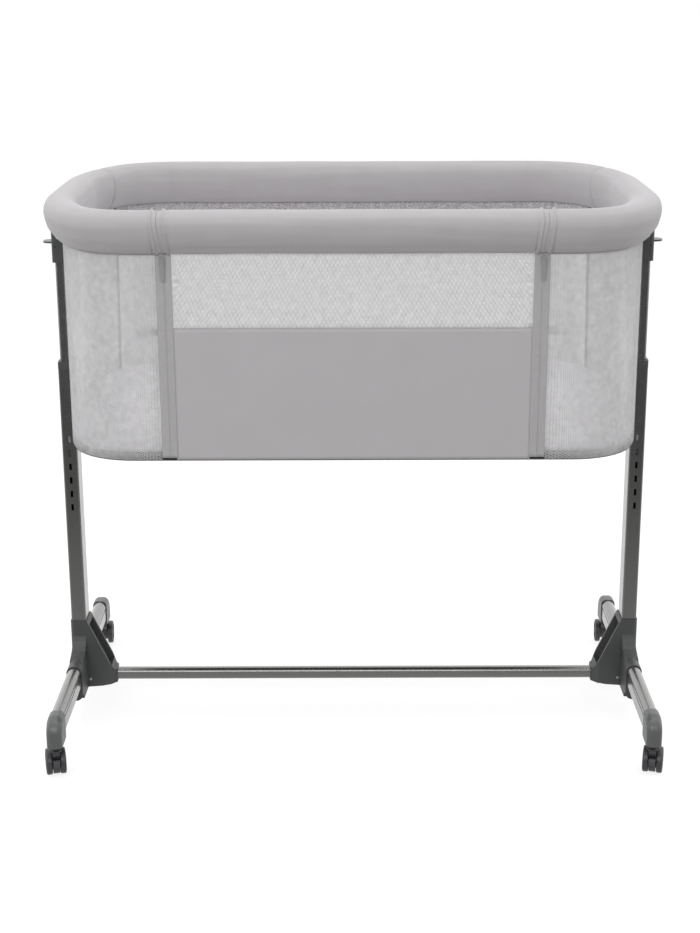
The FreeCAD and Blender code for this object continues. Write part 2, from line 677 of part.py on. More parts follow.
def make_latch(side, sign):
    """Spring latch: a tooth for the slots, slit for the rod's plate and crossed by a pin."""
    body = new_body(f"{side}_latch")
    nose, tail = -14.5, 9.0
    block = new_sketch(body, "XY_Plane", "block", S.slot_first - LATCH_HALF_HEIGHT)
    rounded(block, 12.6, tail - nose, 4.2, 0.0, (tail + nose) / 2)
    pad(body, block, 2 * LATCH_HALF_HEIGHT)
    slit = new_sketch(body, "XY_Plane", "slit", S.slot_first + LATCH_HALF_HEIGHT + 1)
    slit_front = nose + 2.3
    rectangle(slit, 2 * PLATE_HALF + 0.6, tail + 1 - slit_front, -sign * S.rod_offset,
              (tail + 1 + slit_front) / 2)
    pocket(body, slit, 2 * LATCH_HALF_HEIGHT + 2)
    tooth = new_sketch(body, "XZ_Plane", "tooth", -nose)
    rectangle(tooth, S.slot_width - 0.6, S.slot_height - 0.8, 0.0, S.slot_first)
    tooth_length = S.leg_depth / 2 - S.tube_wall - S.soft_gap + nose
    pad(body, tooth, tooth_length)
    pin = new_sketch(body, "YZ_Plane", "pin")
    circle(pin, CAM_PIN, CAM_START, S.slot_first)
    pad(body, pin, 12.0, symmetric=True)
    put(body, sign * S.leg_spacing)
    keep(body)


def make_pull_rod(side, sign):
    """Release rod: a disc under the paddle at the top and a cam plate in the latch below."""
    inward = -sign
    centre = Vector(inward * number(S.rod_offset), 0, 0)
    slot_first = number(S.slot_first)
    plate_top, disc_foot, disc_top = slot_first + 13, 762.8, 765.3
    spring_foot = 730.0

    def round_bar(radius, foot, top):
        return Part.makeCylinder(radius, top - foot, centre + Vector(0, 0, foot))

    plate_front, plate_back, plate_foot = -7.5, 5.7, slot_first - 8.5
    plate = Part.makeBox(2 * PLATE_HALF, plate_back - plate_front, plate_top - plate_foot,
                         centre + Vector(-PLATE_HALF, plate_front, plate_foot))
    cam_radius = CAM_PIN + 0.3
    slide = Vector(0, CAM_TRAVEL, -CAM_TRAVEL)
    start = centre + Vector(-5, CAM_START, slot_first)
    groove = Part.makeCylinder(cam_radius, 10, start, X_AXIS)
    groove = groove.fuse(Part.makeCylinder(cam_radius, 10, start + slide, X_AXIS))
    across = Vector(0, 1, 1).normalize() * cam_radius
    corners = [start + across, start + slide + across, start + slide - across, start - across]
    band = Part.Face(Part.makePolygon(corners + corners[:1])).extrude(Vector(10, 0, 0))
    groove = groove.fuse(band)
    rod = round_bar(number(S.rod_radius), plate_top - 2, disc_top)
    rod = rod.fuse([plate.cut(groove), round_bar(4.5, disc_foot, disc_top),
                    round_bar(3.8, spring_foot - 3, spring_foot)])
    thing = shape_part(f"{side}_pull_rod", rod.removeSplitter())
    put(thing, sign * S.leg_spacing)
    keep(thing)

    spring = round_bar(3.8, spring_foot, number(S.slide_top) - 0.3)
    spring = spring.cut(round_bar(number(S.rod_radius) + 0.4, spring_foot - 1, 760))
    thing = shape_part(f"{side}_latch_spring", spring)
    put(thing, sign * S.leg_spacing)
    keep(thing)


PADDLE_PIVOT = (6.5, 764.5)


def make_head(side, sign):
    """Plastic head on the upper tube: cheeks for the tilt pin, a chamber for the release."""
    body = new_body(f"{side}_head")
    block = new_sketch(body, "XY_Plane", "block", S.head_foot)
    rounded(block, S.head_width, S.head_depth, 5.0)
    pad(body, block, S.head_top - S.head_foot)
    socket = new_sketch(body, "XY_Plane", "tube_socket", S.head_foot)
    socket_width, socket_depth = S.slide_width + 2 * S.fit_gap, S.slide_depth + 2 * S.fit_gap
    rounded(socket, socket_width, socket_depth, S.slide_corner)
    pocket(body, socket, S.slide_top - S.head_foot, reverse=True)
    chamber = new_sketch(body, "XZ_Plane", "chamber")
    inner, lip, open_side = 9.5, 9.5, S.head_width / 2 + 1
    floor, sill, sky = S.slide_top + 3, 764.0, S.head_top + 1
    outline(chamber, [(-sign * inner, floor), (sign * lip, floor), (sign * lip, sill),
                      (sign * open_side, sill), (sign * open_side, sky), (-sign * inner, sky)])
    pocket(body, chamber, 2 * S.chamber_half, symmetric=True)
    rod_hole = new_sketch(body, "XY_Plane", "rod_hole", floor + 1)
    circle(rod_hole, S.rod_radius + 0.4, -sign * S.rod_offset, 0.0)
    pocket(body, rod_hole, 6.0)
    pins = new_sketch(body, "XZ_Plane", "pin_holes")
    circle(pins, S.pin_radius + S.running_gap, 0.0, S.pin_height)
    circle(pins, 1.5 + S.running_gap, sign * PADDLE_PIVOT[0], PADDLE_PIVOT[1])
    pocket(body, pins, S.head_depth + 4, symmetric=True)
    put(body, sign * S.leg_spacing)
    keep(body)


def make_paddle(side, sign):
    """Release paddle: a finger tab outside the head and a fork under the rod's disc."""
    body = new_body(f"{side}_paddle")
    arm = new_sketch(body, "XZ_Plane", "arm")
    arm_shape = [(9.2, 764.8), (9.2, 771.5), (2.2, 771.5), (2.2, 762.5), (-8.5, 762.5),
                 (-8.5, 759.5), (0.0, 759.5), (6.5, 761.3)]
    outline(arm, [(sign * x, z) for x, z in arm_shape])
    pad(body, arm, 12.0, symmetric=True)
    tab = new_sketch(body, "XZ_Plane", "tab")
    outline(tab, [(sign * x, z) for x, z in
                  [(2.2, 768.0), (26.5, 769.0), (26.5, 771.5), (2.2, 771.5)]])
    pad(body, tab, 24.0, symmetric=True)
    round_edges(body, "tab_corners", 9.0,
                lambda edge: runs_along(edge, Z_AXIS)
                and abs(abs(edge.CenterOfMass.x) - 26.5) < 0.1)
    fork = new_sketch(body, "XY_Plane", "fork_gap", 763.0)
    rectangle(fork, 10.0, 2 * S.rod_radius + 1.2, sign * -4.0, 0.0)
    pocket(body, fork, 5.0)
    trunnions = new_sketch(body, "XZ_Plane", "trunnions")
    circle(trunnions, 1.5, sign * PADDLE_PIVOT[0], PADDLE_PIVOT[1])
    pad(body, trunnions, 2 * S.chamber_half + 7, symmetric=True)
    put(body, sign * S.leg_spacing)
    keep(body)


# ---------------------------------------------------------------- plan outlines of the basket
class Plan:
    """A rounded plan: straight front and rear, bowed ends, and a tight arc at each corner."""

    def __init__(self, half_length, half_depth, bow_reach, bow_depth, corner):
        self.length, self.depth = float(half_length), float(half_depth)
        self.reach, self.bow, self.corner = float(bow_reach), float(bow_depth), float(corner)
        gain = self.reach ** 2 + self.bow ** 2 - 2 * self.bow * self.corner
        self.end_radius = gain / (2 * (self.reach - self.corner))
        self.end_x = self.length - self.end_radius
        self.end_y = self.depth - self.bow
        self.corner_x = self.length - self.reach
        self.corner_y = self.depth - self.corner
        self.turn = math.degrees(math.atan2(self.corner_y - self.end_y,
                                            self.corner_x - self.end_x))

    def wire(self, offset, z):
        """The closed outline, moved outwards by the offset, at the height z."""
        edges = []
        end_radius, corner_radius = self.end_radius + offset, self.corner + offset

        def arc(x, y, radius, start, stop):
            points = []
            for angle in (start, (start + stop) / 2, stop):
                turn = math.radians(angle)
                points.append(Vector(x + radius * math.cos(turn), y + radius * math.sin(turn), z))
            edges.append(Part.Arc(*points).toShape())

        def line(start, stop):
            edges.append(Part.LineSegment(Vector(*start, z), Vector(*stop, z)).toShape())

        far_x, far_y = self.length + offset, self.depth + offset
        line((far_x, -self.end_y), (far_x, self.end_y))
        arc(self.end_x, self.end_y, end_radius, 0, self.turn)
        arc(self.corner_x, self.corner_y, corner_radius, self.turn, 90)
        line((self.corner_x, far_y), (-self.corner_x, far_y))
        arc(-self.corner_x, self.corner_y, corner_radius, 90, 180 - self.turn)
        arc(-self.end_x, self.end_y, end_radius, 180 - self.turn, 180)
        line((-far_x, self.end_y), (-far_x, -self.end_y))
        arc(-self.end_x, -self.end_y, end_radius, 180, 180 + self.turn)
        arc(-self.corner_x, -self.corner_y, corner_radius, 180 + self.turn, 270)
        line((-self.corner_x, -far_y), (self.corner_x, -far_y))
        arc(self.corner_x, -self.corner_y, corner_radius, 270, 360 - self.turn)
        arc(self.end_x, -self.end_y, end_radius, 360 - self.turn, 360)
        return Part.Wire(Part.__sortEdges__(edges))

    def rear_run(self, start):
        """Stretches from the right end bow, round the rear, to the left end bow."""
        return [("arc", self.end_x, self.end_y, self.end_radius, start, self.turn),
                ("arc", self.corner_x, self.corner_y, self.corner, self.turn, 90),
                ("line", self.corner_x, self.depth, -self.corner_x, self.depth),
                ("arc", -self.corner_x, self.corner_y, self.corner, 90, 180 - self.turn),
                ("arc", -self.end_x, self.end_y, self.end_radius, 180 - self.turn, 180 - start)]

    def right_run(self, start, front_x):
        """Stretches from the rear of the right end bow, round the end, to the front."""
        return [("arc", self.end_x, self.end_y, self.end_radius, start, 0),
                ("line", self.length, self.end_y, self.length, -self.end_y),
                ("arc", self.end_x, -self.end_y, self.end_radius, 0, -self.turn),
                ("arc", self.corner_x, -self.corner_y, self.corner, -self.turn, -90),
                ("line", self.corner_x, -self.depth, front_x, -self.depth)]


RIM = Plan(S.rim_half_length, S.rim_half_depth, S.rim_bow_reach, S.rim_bow_depth, S.rim_corner)
FLOOR = Plan(S.floor_half_length, S.floor_half_depth, S.floor_bow_reach, S.floor_bow_depth,
             S.floor_corner)


def stand_section(face, x, y, normal_x, normal_y):
    """Stand a section, drawn as outward offset and height, on a point of the plan."""
    matrix = FreeCAD.Matrix(normal_x, 0, normal_y, x, normal_y, 0, -normal_x, y, 0, 1, 0, 0,
                            0, 0, 0, 1)
    placed = face.copy()
    placed.Placement = FreeCAD.Placement(matrix)
    return placed


def swept(face, runs):
    """Carry a section along the stretches of a plan and join the results."""
    solids = []
    for kind, *values in runs:
        if kind == "line":
            x, y, to_x, to_y = values
            reach = Vector(to_x - x, to_y - y, 0)
            sideways = Vector(reach).normalize()
            normal = Vector(sideways.y, -sideways.x, 0)
            if normal.x * x + normal.y * y < 0:
                normal = normal * -1
            solids.append(stand_section(face, x, y, normal.x, normal.y).extrude(reach))
        else:
            x, y, radius, start, stop = values
            turn = math.radians(start)
            normal = Vector(math.cos(turn), math.sin(turn), 0)
            place = Vector(x, y, 0) + normal * radius
            placed = stand_section(face, place.x, place.y, normal.x, normal.y)
            solids.append(placed.revolve(Vector(x, y, 0), Z_AXIS, stop - start))
    joined = solids[0].fuse(solids[1:]) if len(solids) > 1 else solids[0]
    return joined.removeSplitter()


def ring_section(outer, inner, height, offset=0.0):
    middle = Vector(offset, height, 0)
    discs = [Part.Face(Part.Wire(Part.makeCircle(radius, middle)))
             for radius in (outer, inner) if radius > 0]
    return discs[0].cut(discs[1]).Faces[0] if len(discs) > 1 else discs[0]


def mirrored(shape):
    return shape.mirror(Vector(0, 0, 0), X_AXIS)


def pair(label_end, shape):
    """Keep a right-hand shape and its left-hand mirror image as two sub-parts."""
    keep(shape_part(f"left_{label_end}", mirrored(shape)))
    keep(shape_part(f"right_{label_end}", shape))


def both(label, shape):
    """Keep a right-hand shape and its mirror image as one sub-part of two solids."""
    keep(shape_part(label, Part.makeCompound([mirrored(shape), shape])))


def box(x0, y0, z0, x1, y1, z1):
    return Part.makeBox(x1 - x0, y1 - y0, z1 - z0, Vector(x0, y0, z0))


def bar_x(radius, x0, x1, y, z):
    return Part.makeCylinder(radius, x1 - x0, Vector(x0, y, z), X_AXIS)


def prism_y(points, y0, y1):
    """A prism along Y from a side view given as x, z points."""
    corners = [Vector(x, y0, z) for x, z in points]
    face = Part.Face(Part.makePolygon(corners + corners[:1]))
    return face.extrude(Vector(0, y1 - y0, 0))


# ---------------------------------------------------------------- rim tubes and tilt brackets
def make_rim():
    tube, wall = number(S.rim_tube) / 2, number(S.tube_wall)
    height, depth = number(S.rim_height), number(S.rim_half_depth)
    spigot, rear, front = (number(S.spigot_length), number(S.rear_joint), number(S.front_joint))
    section = ring_section(tube, tube - wall, height)
    hoop = swept(section, [("line", rear, depth, RIM.corner_x, depth),
                           ("arc", RIM.corner_x, RIM.corner_y, RIM.corner, 90, RIM.turn)]
                 + RIM.right_run(RIM.turn, front))
    pair("rim_hoop", hoop)

    bore = tube - wall
    plug = bore - number(S.fit_gap)
    rear_tube = bar_x(tube, -rear, rear, depth, height)
    rear_tube = rear_tube.fuse(bar_x(plug, -rear - spigot, rear + spigot, depth, height))
    rear_tube = rear_tube.cut(bar_x(plug - wall, -rear - spigot, rear + spigot, depth, height))
    keep(shape_part("rear_rim", rear_tube.removeSplitter()))

    half, tongue = number(S.rail_half), number(S.tongue_length)
    rail_plug = number(S.rail_plug)
    mouth = half + 0.5
    fitting = bar_x(tube, mouth, front, -depth, height)
    fitting = fitting.fuse(bar_x(plug, front, front + spigot, -depth, height))
    groove = box(mouth - 1, -depth - tube - 1, height - 8.2,
                 mouth + tongue + 0.4, -depth + 3.8, height + 4.3)
    both("rail_fittings", fitting.cut(groove).removeSplitter())

    rail_tube = bar_x(tube, rail_plug - half, half - rail_plug, -depth, height)
    rail_tube = rail_tube.cut(bar_x(bore, rail_plug - half, half - rail_plug, -depth, height))
    end = bar_x(tube, half - rail_plug, half, -depth, height)
    end = end.fuse(bar_x(plug, half - rail_plug - spigot, half - rail_plug, -depth, height))
    end = end.fuse(box(half - 1, -depth - 3.5, height - 4, half + tongue, -depth + 3.5, height + 4))
    end = end.removeSplitter()
    keep(shape_part("front_rail", Part.makeCompound([rail_tube, end, mirrored(end)])))


BRACKET_HALF = 12.0


def bracket_outline(grow=0.0):
    """Side view of a tilt bracket, from the rim tube down to the pin; grow widens it."""
    leg, rim = number(S.leg_spacing), number(S.rim_half_length)
    height, pin = number(S.rim_height), number(S.pin_height)
    ear = 7.0
    return [(rim - 13 - grow, height + grow), (rim + 13 + grow, height + grow),
            (leg - 2 + grow, height - 13), (leg + ear + grow, pin + 8),
            (leg + ear + grow, pin - grow), (leg + 4.0, pin - 5.8 - grow),
            (leg - 4.0, pin - 5.8 - grow), (leg - ear - grow, pin - grow),
            (leg - ear - grow, pin + 8), (leg - 14 - grow, height - 20),
            (rim - 13 - grow, height - 16 - grow)]


def make_tilt_joint():
    tube, pin = number(S.rim_tube) / 2, number(S.pin_radius)
    leg, rim, height = number(S.leg_spacing), number(S.rim_half_length), number(S.rim_height)
    bracket = prism_y(bracket_outline(), -BRACKET_HALF, BRACKET_HALF)
    rim_bore = Part.makeCylinder(tube + 0.05, 60, Vector(rim, -30, height), Y_AXIS)
    pin_place = Vector(leg, -30, number(S.pin_height))
    bracket = bracket.cut([rim_bore, Part.makeCylinder(pin + 0.02, 60, pin_place, Y_AXIS)])
    both("tilt_brackets", bracket)

    reach = number(S.head_depth) / 2
    start = Vector(leg, -reach - 0.4, number(S.pin_height))
    bolt = Part.makeCylinder(pin, 2 * reach + 0.8, start, Y_AXIS)
    for facing in (-1, 1):
        seat = Vector(leg, facing * (reach + 0.3), number(S.pin_height))
        bolt = bolt.fuse(Part.makeCylinder(pin + 2, 1.8, seat, Vector(0, facing, 0)))
    both("tilt_pins", bolt.removeSplitter())


# ---------------------------------------------------------------- padded bumper
def pad_section(bore):
    """Section of the bumper: crowned top, fuller outside, narrow underneath."""
    half, top = number(S.pad_half), number(S.pad_top)
    widest, low = number(S.pad_widest), number(S.pad_low)

    def arc(*points):
        return Part.Arc(*[Vector(x, y, 0) for x, y in points]).toShape()

    crown = 0.73
    drop, sink = top - widest, widest - low
    inside_low, outside_low = (-0.2 * half, low), (0.3 * half, low)
    bottom = Part.LineSegment(Vector(*outside_low, 0), Vector(*inside_low, 0)).toShape()
    edges = [arc(inside_low, (-0.84 * half, low + 0.42 * sink), (-half, widest)),
             arc((-half, widest), (-crown * half, top - 0.31 * drop), (0, top)),
             arc((0, top), (crown * half, top - 0.31 * drop), (half, widest)),
             arc((half, widest), (0.85 * half, low + 0.45 * sink), outside_low), bottom]
    face = Part.Face(Part.Wire(edges))
    return face.cut(ring_section(bore, 0, number(S.rim_height))).Faces[0]


def make_bumper():
    bore = number(S.rim_tube) / 2 + number(S.soft_gap)
    section = pad_section(bore)
    gap = math.degrees(number(S.soft_gap) / 2 / RIM.end_radius)
    seam, tape = number(S.seam_turn), number(S.zip_tape)
    end_start = number(S.zip_middle) + tape / 2
    end_pad = swept(section, RIM.right_run(seam - gap, end_start))
    hollow = prism_y(bracket_outline(number(S.soft_gap)), -BRACKET_HALF - 0.4, BRACKET_HALF + 0.4)
    pair("bumper", end_pad.cut(hollow))
    keep(shape_part("rear_bumper", swept(section, RIM.rear_run(seam + gap))))
    front = number(S.rail_half) - number(S.soft_gap)
    keep(shape_part("front_bumper", swept(section, [("line", -front, -RIM.depth,
                                                      front, -RIM.depth)])))


# ---------------------------------------------------------------- mesh and cloth walls
def wall_ring(outer, inner, z0, z1):
    """The tapering wall between two offsets, from the floor's plan up to the rim's plan."""
    shells = []
    for offset in (outer, inner):
        shells.append(Part.makeLoft([FLOOR.wire(offset, z0), RIM.wire(offset, z1)], True, True))
    return shells[0].cut(shells[1])


def rear_region(shift=0.0):
    """Tall prism over the rear wall, cut off along the two rear corner seams."""
    seam_x, seam_y, angle = 393.0, 224.0, math.radians(30)
    along = Vector(math.cos(angle), math.sin(angle), 0)
    seam = Vector(seam_x, seam_y + shift, 0)
    inner, outer = seam - along * 130, seam + along * 90
    corners = [inner, outer, Vector(outer.x, 420, 0)]
    corners += [Vector(-point.x, point.y, 0) for point in reversed(corners)]
    return Part.Face(Part.makePolygon(corners + corners[:1])).extrude(Vector(0, 0, 1000))


def make_walls():
    sheet_thick, gap = number(S.wall_sheet), number(S.soft_gap)
    bottom, top, hem = number(S.wall_bottom), number(S.wall_top), number(S.hem_height)
    zip_middle, tape = number(S.zip_middle), number(S.zip_tape)
    ring = wall_ring(0.0, -sheet_thick, bottom, top)
    tape_outer = zip_middle + 0.5 + tape
    tape_inner = zip_middle - 0.5 - tape
    far = 600.0
    right_end = ring.cut(rear_region(-gap)).common(box(tape_outer + gap, -far, 0, far, far, 1000))
    pair("end_mesh", right_end)
    keep(shape_part("rear_mesh", ring.common(rear_region())))
    half = tape_inner - gap
    front = box(-half, -far, bottom, half, 0, hem - gap / 2)
    keep(shape_part("front_skirt", ring.common(front)))
    front = box(-half, -far, hem + gap / 2, half, 0, top)
    keep(shape_part("front_window", ring.common(front)))

    tape_ring = wall_ring(0.6, -sheet_thick - 0.6, bottom, top)
    tape_foot = bottom + 3
    outer_tape = tape_ring.common(box(zip_middle + 0.5, -far, tape_foot, tape_outer, 0, top))
    inner_tape = tape_ring.common(box(tape_inner, -far, tape_foot, zip_middle - 0.5, 0, top))
    both("frame_zip_tapes", outer_tape)
    both("panel_zip_tapes", inner_tape)


def make_zip_sliders():
    """Cast sliders with a hanging pull tab, in front of the two zips."""
    depth, top = number(S.rim_half_depth), number(S.wall_top)
    lean = math.atan((depth - number(S.floor_half_depth)) / (top - number(S.wall_bottom)))
    face = -depth - 0.9
    slider_top = top - 5
    body = box(-4.5, face - 3.2, slider_top - 12, 4.5, face, slider_top)
    body = body.makeFillet(1.2, [edge for edge in body.Edges if runs_along(edge, Y_AXIS)])
    bridge = box(-1.6, face - 5.4, slider_top - 9.5, 1.6, face - 3.2, slider_top - 2.5)
    tab = box(-3.0, face - 5.0, slider_top - 34, 3.0, face - 3.6, slider_top - 5)
    tab = tab.makeFillet(2.6, [edge for edge in tab.Edges if runs_along(edge, Y_AXIS)])
    slider = body.fuse([bridge, tab]).removeSplitter()
    turn = FreeCAD.Rotation(X_AXIS, math.degrees(lean))
    leaning = FreeCAD.Placement(Vector(), turn, Vector(0, face + 0.3, top))
    slider = slider.transformed(leaning.toMatrix(), copy=True)
    for side, sign in SIDES.items():
        thing = shape_part(f"{side}_zip_slider", slider)
        put(thing, sign * S.zip_middle)
        keep(thing)


# ---------------------------------------------------------------- floor and mattress
def slab(plan, offset, z0, z1):
    return Part.Face(plan.wire(offset, z0)).extrude(Vector(0, 0, z1 - z0))


def make_floor():
    bottom, wire = number(S.wall_bottom), number(S.floor_wire) / 2
    gap, inset, soft_gap = 0.3, number(S.wall_sheet), number(S.soft_gap)
    keep(shape_part("floor_cloth", slab(FLOOR, -gap, bottom - number(S.floor_cloth), bottom)))
    wire_offset = -inset - 2.5 - wire
    wire_height = bottom + gap + wire
    section = ring_section(wire, wire - 1.2, wire_height, wire_offset)
    loop = (FLOOR.rear_run(0) + FLOOR.right_run(0, -FLOOR.corner_x)
            + [("arc", -FLOOR.corner_x, -FLOOR.corner_y, FLOOR.corner, 270, 180 + FLOOR.turn),
               ("arc", -FLOOR.end_x, -FLOOR.end_y, FLOOR.end_radius, 180 + FLOOR.turn, 180),
               ("line", -FLOOR.length, -FLOOR.end_y, -FLOOR.length, FLOOR.end_y)])
    loop = [run for run in loop if run[0] == "line" or abs(run[-1] - run[-2]) > 1e-6]
    keep(shape_part("floor_frame", swept(section, loop)))

    board_foot = bottom + gap
    board_top = board_foot + number(S.board_sheet)
    board_offset = wire_offset - wire - 0.5
    keep(shape_part("base_board", slab(FLOOR, board_offset, board_foot, board_top)))

    foot, brim, crown = board_top + gap, wire_height + wire + gap, number(S.mattress_top)
    thick, edge = crown - brim, -inset - soft_gap
    plug = slab(FLOOR, board_offset - 0.3, foot, brim + 0.1)
    levels = [(edge - 3.6, brim), (edge, brim + 0.21 * thick), (edge, brim + 0.47 * thick),
              (edge - 4.6, brim + 0.78 * thick), (edge - 11.6, brim + 0.93 * thick),
              (edge - 27.6, crown)]
    wires = [FLOOR.wire(offset, z) for offset, z in levels]
    mattress = Part.makeLoft(wires, True, True).fuse(plug).removeSplitter()
    keep(shape_part("mattress", mattress))


def make_rear_strap():
    """Webbing strap that lies along the outside of the rear wall, for tying to a bed."""
    foot, height, reach = 562.0, 12.0, 371.0
    gap, thick = 0.6, 1.3
    bottom, top = number(S.wall_bottom), number(S.wall_top)
    band = wall_ring(gap + thick, gap, bottom, top)
    keep(shape_part("rear_strap", band.common(box(-reach, 0, foot, reach, 600, foot + height))))


# ---------------------------------------------------------------- build all
make_crossbar()
collars, caps = [], {"left": [], "right": []}
for side_name, side_sign in SIDES.items():
    make_hub(side_name, side_sign)
    make_foot(side_name, side_sign)
    make_lower_leg(side_name, side_sign)
    collars.append(make_leg_collar(side_name, side_sign))
    make_upper_tube(side_name, side_sign)
    make_latch_guide(side_name, side_sign)
    make_latch(side_name, side_sign)
    make_pull_rod(side_name, side_sign)
    make_head(side_name, side_sign)
    make_paddle(side_name, side_sign)
    for end_name, end_facing in (("front", -1), ("back", 1)):
        caps[side_name].append(make_foot_cap(f"{end_name}_{side_name}_cap", side_sign, end_facing))
        make_caster(f"{end_name}_{side_name}", side_sign, end_facing, end_facing < 0)
make_hub_screws()
make_rim()
make_tilt_joint()
make_bumper()
make_walls()
make_zip_sliders()
make_floor()
make_rear_strap()
doc.recompute()
keep(shape_part("leg_collars", Part.makeCompound([thing.Shape for thing in collars])))
for side_name, side_caps in caps.items():
    keep(shape_part(f"{side_name}_foot_caps", Part.makeCompound([cap.Shape for cap in side_caps])))

# ---------------------------------------------------------------- check and write
for thing in doc.Objects:
    if "Invalid" in thing.State or "Error" in thing.State:
        raise RuntimeError(f"{thing.Label} failed: {thing.State}")
for thing in SUBPARTS:
    shape = thing.Shape
    if shape.isNull() or not shape.isValid() or not shape.Solids:
        raise RuntimeError(f"{thing.Label} has no valid solid")
    shape.exportStep(f"parts/{thing.Label}.step")
print(f"{len(SUBPARTS)} sub-parts written")
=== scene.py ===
import bpy
import math
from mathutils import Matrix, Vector, noise


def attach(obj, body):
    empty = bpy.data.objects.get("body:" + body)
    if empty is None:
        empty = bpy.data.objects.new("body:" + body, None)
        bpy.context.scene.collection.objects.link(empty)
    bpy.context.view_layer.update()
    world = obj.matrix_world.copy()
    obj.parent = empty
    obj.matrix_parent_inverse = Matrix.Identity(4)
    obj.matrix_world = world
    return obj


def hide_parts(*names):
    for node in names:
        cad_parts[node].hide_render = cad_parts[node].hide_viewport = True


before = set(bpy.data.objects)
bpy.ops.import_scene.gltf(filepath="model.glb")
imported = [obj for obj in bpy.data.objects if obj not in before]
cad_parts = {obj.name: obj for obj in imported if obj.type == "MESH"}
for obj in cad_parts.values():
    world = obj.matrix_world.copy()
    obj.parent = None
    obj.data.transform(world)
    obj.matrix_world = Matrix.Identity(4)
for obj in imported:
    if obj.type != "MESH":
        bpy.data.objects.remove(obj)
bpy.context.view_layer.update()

# ---------------------------------------------------------------- camera, floor and light
# The view of the photograph: straight on to the drop side, a little above the rim. The crib
# stands on a white studio sweep, under a broad light from above and a softer one in front.
CAMERA_PLACE = (0.0, -2.6065, 1.1901)
CAMERA_PITCH = 0.2918
CAMERA_ROLL = 0.0031
CAMERA_LENS = 65.73
CAMERA_SHIFT = -0.0037
SENSOR_WIDTH = 36.0

camera_data = bpy.data.cameras.new("camera")
camera_data.lens = CAMERA_LENS
camera_data.sensor_width = SENSOR_WIDTH
camera_data.shift_x = CAMERA_SHIFT
camera = bpy.data.objects.new("camera", camera_data)
camera.location = CAMERA_PLACE
camera.rotation_euler = (math.pi / 2 - CAMERA_PITCH, CAMERA_ROLL * math.cos(CAMERA_PITCH),
                         -CAMERA_ROLL * math.sin(CAMERA_PITCH))
bpy.context.scene.collection.objects.link(camera)
bpy.context.scene.camera = camera
bpy.context.scene.view_settings.view_transform = "Standard"


def deselect():
    if bpy.context.object and bpy.context.object.mode != "OBJECT":
        bpy.ops.object.mode_set(mode="OBJECT")
    bpy.ops.object.select_all(action="DESELECT")


def new_material(name):
    """An empty node material and its Principled shader."""
    material = bpy.data.materials.new(name)
    material.use_nodes = True
    shader = material.node_tree.nodes["Principled BSDF"]
    return material, material.node_tree, shader


def map_range(tree, value, start, stop):
    """Maps the value's span start to the span stop, clamped."""
    node = tree.nodes.new("ShaderNodeMapRange")
    node.inputs["From Min"].default_value, node.inputs["From Max"].default_value = start
    node.inputs["To Min"].default_value, node.inputs["To Max"].default_value = stop
    tree.links.new(value, node.inputs["Value"])
    return node.outputs[0]


# The camera sees the floor white. Mirror rays see it darker towards the front, where the real
# studio is dark, and all other rays see a mid grey.
FLOOR_SPAN = 400
FLOOR_GREY = (0.40, 0.40, 0.40, 1)
SEEN_GREY = (0.35, 0.35, 0.35, 1)
SEEN_GLOW = 0.80
MIRROR_DEPTHS, MIRROR_LEVELS = (-1.3, 0.3), (0.20, 1.0)

deselect()
bpy.ops.mesh.primitive_plane_add(size=FLOOR_SPAN)
floor = bpy.context.object
floor.name = "studio_floor"
floor_paint, tree, shader = new_material("studio_floor")
shader.inputs["Base Color"].default_value = FLOOR_GREY
shader.inputs["Roughness"].default_value = 0.9
shader.inputs["Specular IOR Level"].default_value = 0.0
seen = tree.nodes.new("ShaderNodeBsdfDiffuse")
seen.inputs["Color"].default_value = SEEN_GREY
glow = tree.nodes.new("ShaderNodeEmission")
glow.inputs["Strength"].default_value = SEEN_GLOW
lit = tree.nodes.new("ShaderNodeAddShader")
spot = tree.nodes.new("ShaderNodeNewGeometry")
parts = tree.nodes.new("ShaderNodeSeparateXYZ")
mirrored = tree.nodes.new("ShaderNodeEmission")
ray = tree.nodes.new("ShaderNodeLightPath")
by_mirror = tree.nodes.new("ShaderNodeMixShader")
either = tree.nodes.new("ShaderNodeMixShader")
tree.links.new(spot.outputs["Position"], parts.inputs[0])
tree.links.new(map_range(tree, parts.outputs["Y"], MIRROR_DEPTHS, MIRROR_LEVELS),
               mirrored.inputs["Color"])
tree.links.new(ray.outputs["Is Glossy Ray"], by_mirror.inputs["Fac"])
tree.links.new(shader.outputs[0], by_mirror.inputs[1])
tree.links.new(mirrored.outputs[0], by_mirror.inputs[2])
tree.links.new(seen.outputs[0], lit.inputs[0])
tree.links.new(glow.outputs[0], lit.inputs[1])
tree.links.new(ray.outputs["Is Camera Ray"], either.inputs["Fac"])
tree.links.new(by_mirror.outputs[0], either.inputs[1])
tree.links.new(lit.outputs[0], either.inputs[2])
tree.links.new(either.outputs[0], tree.nodes["Material Output"].inputs["Surface"])
floor.data.materials.append(floor_paint)

# The sky is white behind the crib and dim behind the camera, and stronger in mirror rays.
SKY_STRENGTHS = (0.74, 1.35)
SKY_DEPTHS, SKY_LEVELS = (-0.9, 0.1), (0.22, 1.0)

world = bpy.data.worlds.new("studio")
world.use_nodes = True
bpy.context.scene.world = world
tree = world.node_tree
back = tree.nodes["Background"]
mirror = tree.nodes.new("ShaderNodeLightPath")
place = tree.nodes.new("ShaderNodeTexCoord")
split = tree.nodes.new("ShaderNodeSeparateXYZ")
tree.links.new(place.outputs["Generated"], split.inputs[0])
tree.links.new(map_range(tree, mirror.outputs["Is Glossy Ray"], (0.0, 1.0), SKY_STRENGTHS),
               back.inputs["Strength"])
tree.links.new(map_range(tree, split.outputs["Y"], SKY_DEPTHS, SKY_LEVELS), back.inputs["Color"])


